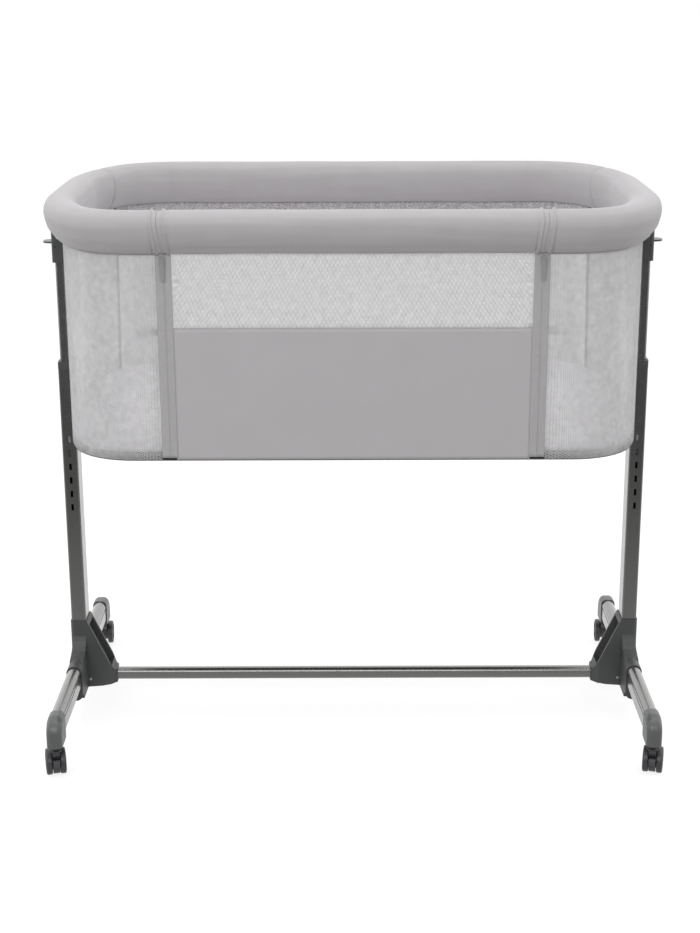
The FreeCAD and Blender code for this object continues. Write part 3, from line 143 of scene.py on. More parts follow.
def softbox(name, place, aim, width, height, power):
    light = bpy.data.lights.new(name, "AREA")
    light.shape = "RECTANGLE"
    light.size, light.size_y = width, height
    light.energy = power
    lamp = bpy.data.objects.new(name, light)
    lamp.location = place
    lamp.rotation_euler = (Vector(aim) - Vector(place)).to_track_quat("-Z", "Y").to_euler()
    bpy.context.scene.collection.objects.link(lamp)


softbox("overhead_light", (0, -0.4, 3.2), (0, 0, 0.5), 3.4, 2.4, 29)
softbox("front_light", (-0.5, -3.6, 2.2), (0, 0, 0.6), 3.0, 1.6, 60)
softbox("left_light", (-3.0, 0.2, 1.4), (0, 0, 0.4), 1.6, 2.2, 15)
softbox("right_light", (3.0, 0.2, 1.4), (0, 0, 0.4), 1.6, 2.2, 15)


# ---------------------------------------------------------------- painted steel tubes
# Legs, feet and crossbar are drawn steel tubes, powder-coated in a satin graphite with fine
# metal flake. The rim tubes are hidden in the bumper and carry the same coat.
def link_noise(tree, scale, detail=2.0, stretch=(1, 1, 1)):
    """A noise texture on the piece's own coordinates, in metres."""
    coordinates = tree.nodes.new("ShaderNodeTexCoord")
    mapping = tree.nodes.new("ShaderNodeMapping")
    mapping.inputs["Scale"].default_value = stretch
    texture = tree.nodes.new("ShaderNodeTexNoise")
    texture.inputs["Scale"].default_value = scale
    texture.inputs["Detail"].default_value = detail
    tree.links.new(coordinates.outputs["Object"], mapping.inputs["Vector"])
    tree.links.new(mapping.outputs["Vector"], texture.inputs["Vector"])
    return texture


def colour_between(tree, factor, low, high):
    """A ramp from one colour to another, driven by a texture's value."""
    ramp = tree.nodes.new("ShaderNodeMix")
    ramp.data_type = "RGBA"
    ramp.inputs["A"].default_value = (*low, 1)
    ramp.inputs["B"].default_value = (*high, 1)
    tree.links.new(factor, ramp.inputs["Factor"])
    return ramp.outputs["Result"]


def value_between(tree, factor, low, high):
    """A value from low to high, driven by the middle of a texture's range."""
    return map_range(tree, factor, (0.3, 0.7), (low, high))


def bump(tree, shader, height, strength, distance):
    node = tree.nodes.new("ShaderNodeBump")
    node.inputs["Strength"].default_value = strength
    node.inputs["Distance"].default_value = distance
    tree.links.new(height, node.inputs["Height"])
    tree.links.new(node.outputs["Normal"], shader.inputs["Normal"])


def dress(material, *nodes):
    for node in nodes:
        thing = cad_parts[node]
        thing.data.materials.clear()
        thing.data.materials.append(material)


graphite_paint, tree, shader = new_material("graphite_paint")
flake = link_noise(tree, 900, 1)
shader.inputs["Metallic"].default_value = 0.85
shader.inputs["Coat Weight"].default_value = 0.7
shader.inputs["Coat Roughness"].default_value = 0.12
tree.links.new(colour_between(tree, flake.outputs["Fac"], (0.155, 0.155, 0.152),
                              (0.185, 0.185, 0.180)), shader.inputs["Base Color"])
tree.links.new(value_between(tree, link_noise(tree, 60).outputs["Fac"], 0.22, 0.30),
               shader.inputs["Roughness"])
bump(tree, shader, flake.outputs["Fac"], 0.015, 0.0002)
dress(graphite_paint, "left_lower_leg", "right_lower_leg", "left_upper_tube", "right_upper_tube",
      "left_foot_tube", "right_foot_tube", "crossbar", "left_rim_hoop", "right_rim_hoop",
      "rear_rim", "front_rail", "floor_frame")

# ---------------------------------------------------------------- moulded plastic
# Hubs, leg collars, heads and the rail's fittings are moulded in a grained charcoal nylon, with
# a fine spark texture that keeps them matt.
moulded_nylon, tree, shader = new_material("moulded_nylon")
grain = link_noise(tree, 1400, 3)
tree.links.new(colour_between(tree, link_noise(tree, 25, 3).outputs["Fac"],
                              (0.066, 0.068, 0.069), (0.082, 0.084, 0.085)),
               shader.inputs["Base Color"])
tree.links.new(value_between(tree, grain.outputs["Fac"], 0.42, 0.54), shader.inputs["Roughness"])
bump(tree, shader, grain.outputs["Fac"], 0.12, 0.0003)
dress(moulded_nylon, "left_hub", "right_hub", "leg_collars", "left_head", "right_head",
      "left_latch_guide", "right_latch_guide", "rail_fittings")

# The foot caps and the release paddles are moulded in a paler, smoother grey.
pale_nylon, tree, shader = new_material("pale_nylon")
grain = link_noise(tree, 1400, 3)
tree.links.new(colour_between(tree, link_noise(tree, 25, 3).outputs["Fac"],
                              (0.115, 0.118, 0.119), (0.135, 0.138, 0.139)),
               shader.inputs["Base Color"])
tree.links.new(value_between(tree, grain.outputs["Fac"], 0.30, 0.40), shader.inputs["Roughness"])
bump(tree, shader, grain.outputs["Fac"], 0.08, 0.0003)
dress(pale_nylon, "left_foot_caps", "right_foot_caps", "left_paddle", "right_paddle")

# The casters are the same nylon, a shade darker, with smoother treads.
caster_nylon, tree, shader = new_material("caster_nylon")
tree.links.new(colour_between(tree, link_noise(tree, 80, 3).outputs["Fac"],
                              (0.046, 0.046, 0.050), (0.060, 0.060, 0.065)),
               shader.inputs["Base Color"])
tree.links.new(value_between(tree, link_noise(tree, 900).outputs["Fac"], 0.34, 0.46),
               shader.inputs["Roughness"])
bump(tree, shader, link_noise(tree, 1100, 2).outputs["Fac"], 0.08, 0.0003)
for end in ("front", "back"):
    for side in ("left", "right"):
        dress(caster_nylon, f"{end}_{side}_caster", f"{end}_{side}_wheels")
dress(caster_nylon, "front_left_brake", "front_right_brake")

# ---------------------------------------------------------------- steel pins and brackets
# Pins, brackets, screws and the release work are zinc-plated steel, brushed lengthways and only
# lightly polished.
zinc_steel, tree, shader = new_material("zinc_steel")
shader.inputs["Metallic"].default_value = 1.0
scratches = link_noise(tree, 300, 4, stretch=(1, 1, 8))
tree.links.new(colour_between(tree, scratches.outputs["Fac"], (0.42, 0.42, 0.43),
                              (0.58, 0.58, 0.59)), shader.inputs["Base Color"])
tree.links.new(value_between(tree, scratches.outputs["Fac"], 0.28, 0.42),
               shader.inputs["Roughness"])
dress(zinc_steel, "tilt_brackets", "tilt_pins", "hub_screws", "left_latch", "right_latch",
      "left_pull_rod", "right_pull_rod", "left_latch_spring", "right_latch_spring")

# The base board is plain fibre board under the mattress.
fibre_board, tree, shader = new_material("fibre_board")
shader.inputs["Roughness"].default_value = 0.85
tree.links.new(colour_between(tree, link_noise(tree, 400, 4).outputs["Fac"], (0.22, 0.16, 0.10),
                              (0.32, 0.24, 0.16)), shader.inputs["Base Color"])
dress(fibre_board, "base_board")

# The zip sliders are small cast sliders with a hanging tab, painted in the grey of the tapes.
slider_paint, tree, shader = new_material("slider_paint")
shader.inputs["Metallic"].default_value = 0.2
tree.links.new(colour_between(tree, link_noise(tree, 500).outputs["Fac"], (0.34, 0.34, 0.345),
                              (0.42, 0.42, 0.425)), shader.inputs["Base Color"])
tree.links.new(value_between(tree, link_noise(tree, 200).outputs["Fac"], 0.35, 0.5),
               shader.inputs["Roughness"])
dress(slider_paint, "left_zip_slider", "right_zip_slider")

# ---------------------------------------------------------------- padded bumper
# Four lengths of foam sleeve in smooth grey cloth round the rim tube. The front length is zipped
# to the end lengths, with a raised piping each side of the zip. The rear length is sewn to the
# ends. Each is a closed sleeve with its bore round the tube.
RIM_PLAN = (0.4284, 0.283, 0.127, 0.208, 0.099)
FLOOR_PLAN = (0.4205, 0.2735, 0.108, 0.1445, 0.0994)
RIM_HEIGHT = 0.828


def plan_facts(plan):
    """Radius, centres and turn of the end bow and the tight corner of one quarter of a plan."""
    length, depth, reach, bow, corner = plan
    radius = (reach ** 2 + bow ** 2 - 2 * bow * corner) / (2 * (reach - corner))
    end = (length - radius, depth - bow)
    tight = (length - reach, depth - corner)
    return radius, end, tight, math.atan2(tight[1] - end[1], tight[0] - end[0])


def plan_point(plan, key, offset=0.0):
    """Point and outward normal on a plan. Keys 0 to 12 run round it from the right end."""
    length, depth, reach, bow, corner = plan
    radius, end, tight, turn = plan_facts(plan)
    half, part = divmod(key % 12, 6)
    step, share = divmod(part, 1)
    if step == 0:
        spot, angle = Vector((length, end[1] * (2 * share - 1))), 0.0
    elif step == 1:
        spot, angle = Vector(end), turn * share
    elif step == 2:
        spot, angle = Vector(tight), turn + (math.pi / 2 - turn) * share
    elif step == 3:
        spot, angle = Vector((tight[0] * (1 - 2 * share), depth)), math.pi / 2
    elif step == 4:
        spot, angle = Vector((-tight[0], tight[1])), math.pi / 2 + (math.pi / 2 - turn) * share
    else:
        spot, angle = Vector((-end[0], end[1])), math.pi - turn + turn * share
    normal = Vector((math.cos(angle), math.sin(angle)))
    spot += normal * (offset + {0: 0, 3: 0, 2: corner, 4: corner}.get(step, radius))
    return (-spot, -normal) if half else (spot, normal)


def plan_lengths(plan):
    radius, end, tight, turn = plan_facts(plan)
    bow, corner = radius * turn, plan[4] * (math.pi / 2 - turn)
    return [2 * end[1], bow, corner, 2 * tight[0], corner, bow] * 2


def key_at(plan, distance):
    """Key at a distance round the plan, counted from key 0."""
    lengths = plan_lengths(plan)
    turns, distance = divmod(distance, sum(lengths))
    for step, length in enumerate(lengths):
        if distance <= length:
            return step + distance / length + 12 * turns
        distance -= length
    return 12.0 + 12 * turns


def distance_at(plan, key):
    lengths = plan_lengths(plan)
    turns, key = divmod(key, 12)
    whole = int(key)
    return sum(lengths[:whole]) + lengths[whole % 12] * (key - whole) + turns * sum(lengths)


PAD_SECTION = [(0.0010, 0.7990), (0.0085, 0.8000), (0.0205, 0.8150), (0.0250, 0.8350),
               (0.0190, 0.8510), (0.0000, 0.8580), (-0.0190, 0.8510), (-0.0250, 0.8350),
               (-0.0225, 0.8170), (-0.0165, 0.8075), (-0.0090, 0.8010), (-0.0035, 0.7992)]
LIPPED_SECTION = PAD_SECTION[:8] + [(-0.0230, 0.8150), (-0.0160, 0.7990), (-0.0070, 0.7908),
                                    (-0.0026, 0.7940)]


def smooth_loop(points, share):
    """Point on the closed smooth curve through the points."""
    count = len(points)
    place = (share % 1.0) * count
    step, t = int(place), place - int(place)
    p0, p1, p2, p3 = (Vector(points[(step + k) % count]) for k in (-1, 0, 1, 2))
    return 0.5 * ((2 * p1) + (p2 - p0) * t + (2 * p0 - 5 * p1 + 4 * p2 - p3) * t ** 2
                  + (3 * p1 - p0 - 3 * p2 + p3) * t ** 3)


def wrapped_grid(name, columns, rows, place):
    """A flat grid laid on the crib: place gives each point from its share along and up."""
    deselect()
    bpy.ops.mesh.primitive_grid_add(x_subdivisions=columns, y_subdivisions=rows, size=1)
    piece = bpy.context.object
    piece.name = piece.data.name = name
    for vertex in piece.data.vertices:
        vertex.co = place(vertex.co.x + 0.5, vertex.co.y + 0.5)
    bpy.ops.object.shade_smooth()
    return piece


DOUBLES_APART = 0.00002


def close_mesh(piece):
    """Merges doubled points and turns all faces outwards."""
    deselect()
    bpy.context.view_layer.objects.active = piece
    piece.select_set(True)
    bpy.ops.object.mode_set(mode="EDIT")
    bpy.ops.mesh.select_all(action="SELECT")
    bpy.ops.mesh.remove_doubles(threshold=DOUBLES_APART)
    bpy.ops.mesh.normals_make_consistent(inside=False)
    bpy.ops.object.mode_set(mode="OBJECT")


PAD_CENTRE = Vector((0.0, RIM_HEIGHT))
PAD_BORE = 0.0104
PAD_ROWS = 84
PAD_SPACING, BORE_SPACING = 0.005, 0.012
FINE_START, FINE_SPACING, FINE_COUNT = 0.0032, 0.0008, 24
END_COLUMNS = [(0.0, 0.0), (0.0, 0.45), (0.0, 0.93), (0.0001, 0.985), (0.0006, 0.997)]


def pad_ring(column, share, lip):
    """Offset and height of a sleeve's point: column 1 is its full section, 0 its bore.

    lip is how far the inner side hangs down as it does along the rear.
    """
    outer = smooth_loop(PAD_SECTION, share).lerp(smooth_loop(LIPPED_SECTION, share), lip)
    outer -= PAD_CENTRE
    bore = outer.normalized() * PAD_BORE
    return PAD_CENTRE + bore.lerp(outer, column)


def sleeve(name, start, stop, dent, lip, shift=None):
    """A foam sleeve along the rim between two distances round it, with softly closed ends.

    dent takes the distance from the start and the share round the section, and gives how far
    the cloth stands out there. lip gives how far the inner side hangs down, and shift moves its
    ends along the rim with the height.
    """
    length = stop - start
    steps = int(length / PAD_SPACING)
    fine = [FINE_START + FINE_SPACING * k for k in range(FINE_COUNT)]
    columns = END_COLUMNS + [(d, 1.0) for d in fine]
    middle = [fine[-1] + (length - 2 * fine[-1]) * k / steps for k in range(1, steps)]
    columns += [(d, 1.0) for d in middle]
    columns += [(length - d, 1.0) for d in reversed(fine)]
    columns += [(length - d, s) for d, s in reversed(END_COLUMNS)]
    back = int(length / BORE_SPACING)
    columns += [(length * (1 - k / back), 0.0) for k in range(1, back + 1)]
    count = len(columns) - 1

    def place(u, v):
        distance, scale = columns[round(u * count)]
        flat = pad_ring(scale, v, lip(distance, length))
        along = shift(distance, flat.y, length) if shift else 0.0
        point, normal = plan_point(RIM_PLAN, key_at(RIM_PLAN, start + distance + along))
        out = (flat - PAD_CENTRE).normalized() * (dent(distance, v, length) * scale)
        flat = flat + out
        spot = point + normal * flat.x
        return Vector((spot.x, spot.y, flat.y))

    piece = wrapped_grid(name, count, PAD_ROWS, place)
    close_mesh(piece)
    return piece


def soft_swell(x, y, z, size=0.0006):
    """Slow uneven swell of stuffed cloth."""
    return size * noise.noise(Vector((x * 9, y * 9, z * 14)))


bumper_cloth, tree, shader = new_material("bumper_cloth")
shader.inputs["Sheen Weight"].default_value = 0.35
shader.inputs["Sheen Roughness"].default_value = 0.45
shader.inputs["Roughness"].default_value = 0.78
shader.inputs["Specular IOR Level"].default_value = 0.25
BUMPER_LOW, BUMPER_HIGH = (0.455, 0.438, 0.450), (0.505, 0.488, 0.500)
tree.links.new(colour_between(tree, link_noise(tree, 30, 4).outputs["Fac"], BUMPER_LOW,
                              BUMPER_HIGH), shader.inputs["Base Color"])
bump(tree, shader, link_noise(tree, 1600, 1).outputs["Fac"], 0.25, 0.0003)

PIPING_REACH, PIPING_HEIGHT, PIPING_WIDTH = 0.0073, 0.0026, 0.0017
CREASE_REACH, CREASE_WIDTH = 0.0036, 0.0012
CREASE_DEPTH, CREASE_LOW_DEPTH = 0.0005, 0.0016
SUNK_DEPTH = 0.0005
FOLD_HEIGHT, FOLD_RATE = 0.00035, 1900
GATHER_HEIGHT, GATHER_RATE, GATHER_REACH = 0.0012, 1500, 0.005
SEAM_DEPTH, SEAM_REACH = 0.0026, 0.0030
ZIP_LOW, ZIP_HIGH = 0.2600, 0.2667
ZIP_PLACE = 0.26725


def clamp(value):
    return max(0.0, min(1.0, value))


def zip_line(height):
    """The zip's distance from the middle: upright over the crest, then slanting inwards."""
    return ZIP_LOW + (ZIP_HIGH - ZIP_LOW) * clamp((height - 0.7995) / 0.044)


def end_dress(distance, share):
    """Cloth by a zip: a raised piping with a crease beside it, and a sunk strip of small folds."""
    height = smooth_loop(PAD_SECTION, share).y
    low = clamp((0.842 - height) / 0.030)
    near = distance - PIPING_REACH
    inside = 1 - math.tanh(near / CREASE_WIDTH)
    ridge = PIPING_HEIGHT * math.exp(-(near / PIPING_WIDTH) ** 2)
    crease = -(CREASE_DEPTH + CREASE_LOW_DEPTH * low)
    crease *= math.exp(-((near - CREASE_REACH) / CREASE_WIDTH) ** 2)
    folds = FOLD_HEIGHT * math.cos(distance * FOLD_RATE) * inside * (0.3 + 0.7 * low)
    under = clamp((0.812 - height) / 0.012)
    gather = GATHER_HEIGHT * under * math.sin(distance * GATHER_RATE + 5 * share)
    gather *= math.exp(-(max(near, 0) / GATHER_REACH) ** 2)
    return ridge + crease - SUNK_DEPTH * inside + folds + gather


def seam_dress(distance):
    """The cloth drawn in at the sewn joint with the next length."""
    return -SEAM_DEPTH * math.exp(-distance / SEAM_REACH)


def no_lip(distance, length):
    return 0.0


def full_lip(distance, length):
    return 1.0


def right_lip(distance, length):
    """The lip grows from the middle of the end round to the rear."""
    share = clamp((distance / length - 0.45) / 0.25)
    return share * share * (3 - 2 * share)


def left_lip(distance, length):
    return right_lip(length - distance, length)


front_half = 0.2621
front_middle = distance_at(RIM_PLAN, 9.5)


def fade(distance):
    """One at a sleeve's end, falling to zero six centimetres in."""
    return clamp(1 - distance / 0.06) ** 2


def front_cloth(distance, share, length):
    flat = smooth_loop(PAD_SECTION, share)
    swell = soft_swell(distance, share * 3, 1.7)
    ends = min(distance, length - distance)
    depth = 0.0011 + 0.0005 * noise.noise(Vector((distance * 6, 0, 3.3)))
    crease = 0.0
    if flat.x > 0:
        crease = -depth * math.exp(-((flat.y - 0.8068) / 0.0022) ** 2) * clamp((ends - 0.012) / 0.03)
    return swell + crease + end_dress(distance, share) + end_dress(length - distance, share)


def front_shift(distance, height, length):
    gap = zip_line(height) - 0.0001 - front_half
    return gap * (fade(length - distance) - fade(distance))


front_pad = sleeve("front_bumper_cloth", front_middle - front_half, front_middle + front_half,
                   front_cloth, no_lip, front_shift)
front_pad.data.materials.append(bumper_cloth)
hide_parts("front_bumper")
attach(front_pad, "front_panel")

SEAM_TURN = math.radians(20.2)
SEAM_GAP = 0.0005
seam_place = distance_at(RIM_PLAN, 1 + SEAM_TURN / plan_facts(RIM_PLAN)[3])
around = sum(plan_lengths(RIM_PLAN))
zip_place = distance_at(RIM_PLAN, 9.5) + ZIP_PLACE - around


def right_cloth(distance, share, length):
    return (soft_swell(distance, share * 3, 4.1) + end_dress(distance, share)
            + seam_dress(length - distance))


def right_shift(distance, height, length):
    return (zip_line(height) + 0.0001 - ZIP_PLACE) * fade(distance)


def left_cloth(distance, share, length):
    return right_cloth(length - distance, share, length) + soft_swell(distance, share, 8.3, 0.0004)


def left_shift(distance, height, length):
    return -right_shift(length - distance, height, length)


def rear_cloth(distance, share, length):
    return (soft_swell(distance, share * 3, 6.6) + seam_dress(distance)
            + seam_dress(length - distance))


right_pad = sleeve("right_bumper_cloth", zip_place, seam_place - SEAM_GAP, right_cloth, right_lip,
                   right_shift)
left_start = distance_at(RIM_PLAN, 6) + distance_at(RIM_PLAN, 1) - seam_place + SEAM_GAP
left_pad = sleeve("left_bumper_cloth", left_start, distance_at(RIM_PLAN, 9.5) - ZIP_PLACE, left_cloth,
                  left_lip, left_shift)
rear_pad = sleeve("rear_bumper_cloth", seam_place + SEAM_GAP, left_start - 2 * SEAM_GAP, rear_cloth,
                  full_lip)
for pad, node in ((right_pad, "right_bumper"), (left_pad, "left_bumper"),
                  (rear_pad, "rear_bumper")):
    pad.data.materials.append(bumper_cloth)
    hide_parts(node)
    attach(pad, "basket")

# ---------------------------------------------------------------- net walls
# The ends, the rear and the front window are a light warp-knitted net with small diamond
# holes, cut to shape and stretched between the bumper and the floor.
WALL_TOP, WALL_FOOT = 0.799, 0.500
HEM_HEIGHT = 0.691


def wall_point(key, height, offset=0.0):
    """Point on the tapering wall at a key round it and a height."""
    rise = (height - WALL_FOOT) / (WALL_TOP - WALL_FOOT)
    low = plan_point(FLOOR_PLAN, key, offset)[0]
    high = plan_point(RIM_PLAN, key, offset)[0]
    spot = low.lerp(high, rise)
    return Vector((spot.x, spot.y, height))


def front_key(x, height):
    """Key of the front wall's point at x, whose straight run shortens towards the top."""
    rise = (height - WALL_FOOT) / (WALL_TOP - WALL_FOOT)
    low, high = plan_facts(FLOOR_PLAN)[2][0], plan_facts(RIM_PLAN)[2][0]
    half = low + (high - low) * rise
    return 9 + (x / half + 1) / 2


NET_PITCH = 0.0024
HOLE_LEVEL, HOLE_EDGE = 0.85, 0.12
SHADED = 0.80


def net_material(name, width, height, thread, bands=()):
    """Net cloth on the piece's own UV map: threads round diamond holes.

    bands are stretches in metres along X or Y where the net is doubled and sewn, so it's close,
    with the colours of the cloth and of its stitches.
    """
    material, tree, shader = new_material(name)
    uv = tree.nodes.new("ShaderNodeTexCoord")
    metres = tree.nodes.new("ShaderNodeMapping")
    metres.inputs["Scale"].default_value = (width, height, 1)
    spots = tree.nodes.new("ShaderNodeSeparateXYZ")
    scaled = tree.nodes.new("ShaderNodeMapping")
    scaled.inputs["Scale"].default_value = (math.tau / NET_PITCH, math.tau / NET_PITCH, 1)
    axes = tree.nodes.new("ShaderNodeSeparateXYZ")
    tree.links.new(uv.outputs["UV"], metres.inputs["Vector"])
    tree.links.new(metres.outputs["Vector"], spots.inputs["Vector"])
    tree.links.new(metres.outputs["Vector"], scaled.inputs["Vector"])
    tree.links.new(scaled.outputs["Vector"], axes.inputs["Vector"])

    def sum_up(operation, first, second=None, third=None):
        node = tree.nodes.new("ShaderNodeMath")
        node.operation = operation
        for socket, value in zip(node.inputs, (first, second, third)):
            if isinstance(value, float):
                socket.default_value = value
            elif value is not None:
                tree.links.new(value, socket)
        return node.outputs[0]

    across = sum_up("COSINE", axes.outputs["X"])
    upwards = sum_up("COSINE", axes.outputs["Y"])
    solid = sum_up("ABSOLUTE", sum_up("ADD", across, upwards))
    alpha = map_range(tree, solid, (HOLE_LEVEL + HOLE_EDGE, HOLE_LEVEL - HOLE_EDGE), (0.0, 1.0))
    low = tuple(SHADED * c for c in thread)
    mottle = value_between(tree, link_noise(tree, 110, 4).outputs["Fac"], 0.0, 1.0)
    colour = colour_between(tree, mottle, low, thread)
    for axis, start, stop, cloth, stitch in bands:
        inside = sum_up("COMPARE", spots.outputs[axis], (start + stop) / 2, (stop - start) / 2)
        sewn = tree.nodes.new("ShaderNodeMix")
        sewn.data_type = "RGBA"
        tree.links.new(inside, sewn.inputs["Factor"])
        tree.links.new(colour, sewn.inputs["A"])
        dots = value_between(tree, link_noise(tree, 420, 1).outputs["Fac"], 0.0, 1.0)
        tree.links.new(colour_between(tree, dots, stitch, cloth), sewn.inputs["B"])
        colour = sewn.outputs["Result"]
        alpha = sum_up("MAXIMUM", alpha, inside)
    tree.links.new(alpha, shader.inputs["Alpha"])
    tree.links.new(colour, shader.inputs["Base Color"])
    shader.inputs["Roughness"].default_value = 0.8
    shader.inputs["Specular IOR Level"].default_value = 0.2
    shader.inputs["Sheen Weight"].default_value = 0.3
    return material


def thicken(piece, thickness):
    """Gives a sheet its real thickness, on its inner side."""
    deselect()
    bpy.context.view_layer.objects.active = piece
    piece.select_set(True)
    wall = piece.modifiers.new("thickness", "SOLIDIFY")
    wall.thickness = thickness
    wall.offset = -1.0
    bpy.ops.object.modifier_apply(modifier=wall.name)


def wall_sheet(name, node, body, columns, rows, place, material, thick=0.0008):
    piece = wrapped_grid(name, columns, rows, place)
    thicken(piece, thick)
    piece.data.materials.append(material)
    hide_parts(node)
    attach(piece, body)


THREAD = (0.84, 0.83, 0.84)
# The end nets are the same net as the rest, given a darker thread colour: painted shade for the
# greyer look of the ends seen at a slant.
SHADED_END_THREAD = (0.79, 0.78, 0.79)
END_NET_X = 0.2723
SEAM_SPOT, SEAM_ANGLE = Vector((0.393, 0.224)), math.radians(30)
NET_GAP = 0.004


def seam_key_at(height):
    """Key where the wall crosses the slanting seam between an end net and the rear net."""
    along = Vector((-math.sin(SEAM_ANGLE), math.cos(SEAM_ANGLE)))
    low, high = 1.0, 3.0
    for _ in range(30):
        middle = (low + high) / 2
        before = (wall_point(middle, height).xy - SEAM_SPOT).dot(along) < 0
        low, high = (middle, high) if before else (low, middle)
    return low


def wall_height(share):
    """Height at a share of the whole wall."""
    return WALL_FOOT + (WALL_TOP - WALL_FOOT) * share


def right_end_place(u, v):
    height = wall_height(v)
    start = front_key(END_NET_X, height) - 12
    return wall_point(start + (seam_key_at(height) - NET_GAP - start) * u, height)


def left_end_place(u, v):
    spot = right_end_place(1 - u, v)
    return Vector((-spot.x, spot.y, spot.z))


def rear_place(u, v):
    height = wall_height(v)
    start = seam_key_at(height) + NET_GAP
    return wall_point(start + (7 - 2 * start) * u, height)


def front_place(half, z_from, z_to):
    """A sheet of the front wall between two heights, as far as half to each side."""
    def place(u, v):
        height = z_from + (z_to - z_from) * v
        return wall_point(front_key(half * (2 * u - 1), height), height)
    return place


END_WIDTH, REAR_WIDTH, WINDOW_HALF = 0.700, 0.862, 0.2519
WALL_TALL = 0.2992
WINDOW_TALL, SKIRT_TALL, HEM_GAP = 0.108, 0.1910, 0.0002
TOP_HEM, REAR_HEM, SEAM_BAND = 0.0035, 0.028, 0.006
HEM_CLOTH, HEM_STITCH = (0.68, 0.66, 0.67), (0.34, 0.33, 0.34)
SEAM_CLOTH, SEAM_STITCH = (0.30, 0.29, 0.30), (0.04, 0.04, 0.04)
top_hem = ("Y", WALL_TALL - TOP_HEM, WALL_TALL, HEM_CLOTH, HEM_CLOTH)
right_net = net_material("right_end_net", END_WIDTH, WALL_TALL, SHADED_END_THREAD,
                         [("X", END_WIDTH - SEAM_BAND, END_WIDTH, SEAM_CLOTH, SEAM_STITCH),
                          top_hem])
left_net = net_material("left_end_net", END_WIDTH, WALL_TALL, SHADED_END_THREAD,
                        [("X", 0.0, SEAM_BAND, SEAM_CLOTH, SEAM_STITCH), top_hem])
rear_net = net_material("rear_net", REAR_WIDTH, WALL_TALL, THREAD,
                        [("X", 0.0, SEAM_BAND, SEAM_CLOTH, SEAM_STITCH),
                         ("X", REAR_WIDTH - SEAM_BAND, REAR_WIDTH, SEAM_CLOTH, SEAM_STITCH),
                         ("Y", WALL_TALL - REAR_HEM, WALL_TALL, HEM_CLOTH, HEM_STITCH)])
window_net = net_material("window_net", 2 * WINDOW_HALF, WINDOW_TALL, THREAD)
wall_sheet("right_end_net", "right_end_mesh", "basket", 110, 24, right_end_place,
           right_net)
wall_sheet("left_end_net", "left_end_mesh", "basket", 110, 24, left_end_place,
           left_net)
wall_sheet("rear_net", "rear_mesh", "basket", 120, 24, rear_place, rear_net)
wall_sheet("front_window_net", "front_window", "front_panel", 60, 12,
           front_place(WINDOW_HALF, HEM_HEIGHT + HEM_GAP, WALL_TOP),
           window_net)

# ---------------------------------------------------------------- front skirt
# The lower part of the drop side is plain woven cloth. It's sewn to the net along its top edge
# and to the basket's floor along its bottom edge.
skirt_cloth, tree, shader = new_material("skirt_cloth")
shader.inputs["Sheen Weight"].default_value = 0.25
shader.inputs["Roughness"].default_value = 0.85
shader.inputs["Specular IOR Level"].default_value = 0.2
tree.links.new(colour_between(tree, link_noise(tree, 18, 4).outputs["Fac"],
                              (0.525, 0.505, 0.521), (0.565, 0.544, 0.560)),
               shader.inputs["Base Color"])
bump(tree, shader, link_noise(tree, 1400, 1).outputs["Fac"], 0.25, 0.0003)
wall_sheet("front_skirt_cloth", "front_skirt", "front_panel", 100, 40,
           front_place(WINDOW_HALF, WALL_FOOT, HEM_HEIGHT - HEM_GAP),
           skirt_cloth, thick=0.0012)

# ---------------------------------------------------------------- floor and mattress
# A cloth floor closes the basket from below. The mattress is a thin foam pad in pale knit,
# crowned on top and drawn in at its sides.
floor_cloth_material, tree, shader = new_material("floor_cloth")
shader.inputs["Roughness"].default_value = 0.85
tree.links.new(colour_between(tree, link_noise(tree, 25, 4).outputs["Fac"],
                              (0.07, 0.07, 0.07), (0.10, 0.10, 0.10)), shader.inputs["Base Color"])
bump(tree, shader, link_noise(tree, 1200, 1).outputs["Fac"], 0.25, 0.0003)


def round_slab(name, levels, columns=168):
    """A closed form from rings that follow the basket's floor, with a spine in its middle."""
    rings = len(levels)

    def place(u, v):
        offset, height, draw = levels[round(v * (rings - 1))]
        lengths = plan_lengths(FLOOR_PLAN)
        key = key_at(FLOOR_PLAN, u * sum(lengths) + lengths[0] / 2)
        spot = plan_point(FLOOR_PLAN, key, offset)[0]
        spine = Vector((spot.x * 0.55, 0.0))
        spot = spot.lerp(spine, draw)
        return Vector((spot.x, spot.y, height))

    piece = wrapped_grid(name, columns, rings - 1, place)
    close_mesh(piece)
    return piece


CLOTH_FOOT = 0.4982
cloth_levels = [(-0.002, CLOTH_FOOT, 1), (-0.002, CLOTH_FOOT, 0.5), (-0.002, CLOTH_FOOT, 0.02),
                (-0.0006, CLOTH_FOOT + 0.0004, 0), (-0.0004, CLOTH_FOOT + 0.001, 0),
                (-0.0012, CLOTH_FOOT + 0.0016, 0), (-0.002, CLOTH_FOOT + 0.0017, 0.5),
                (-0.002, CLOTH_FOOT + 0.0017, 1)]
under_cloth = round_slab("basket_floor_cloth", cloth_levels)
under_cloth.data.materials.append(floor_cloth_material)
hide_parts("floor_cloth")
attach(under_cloth, "basket")

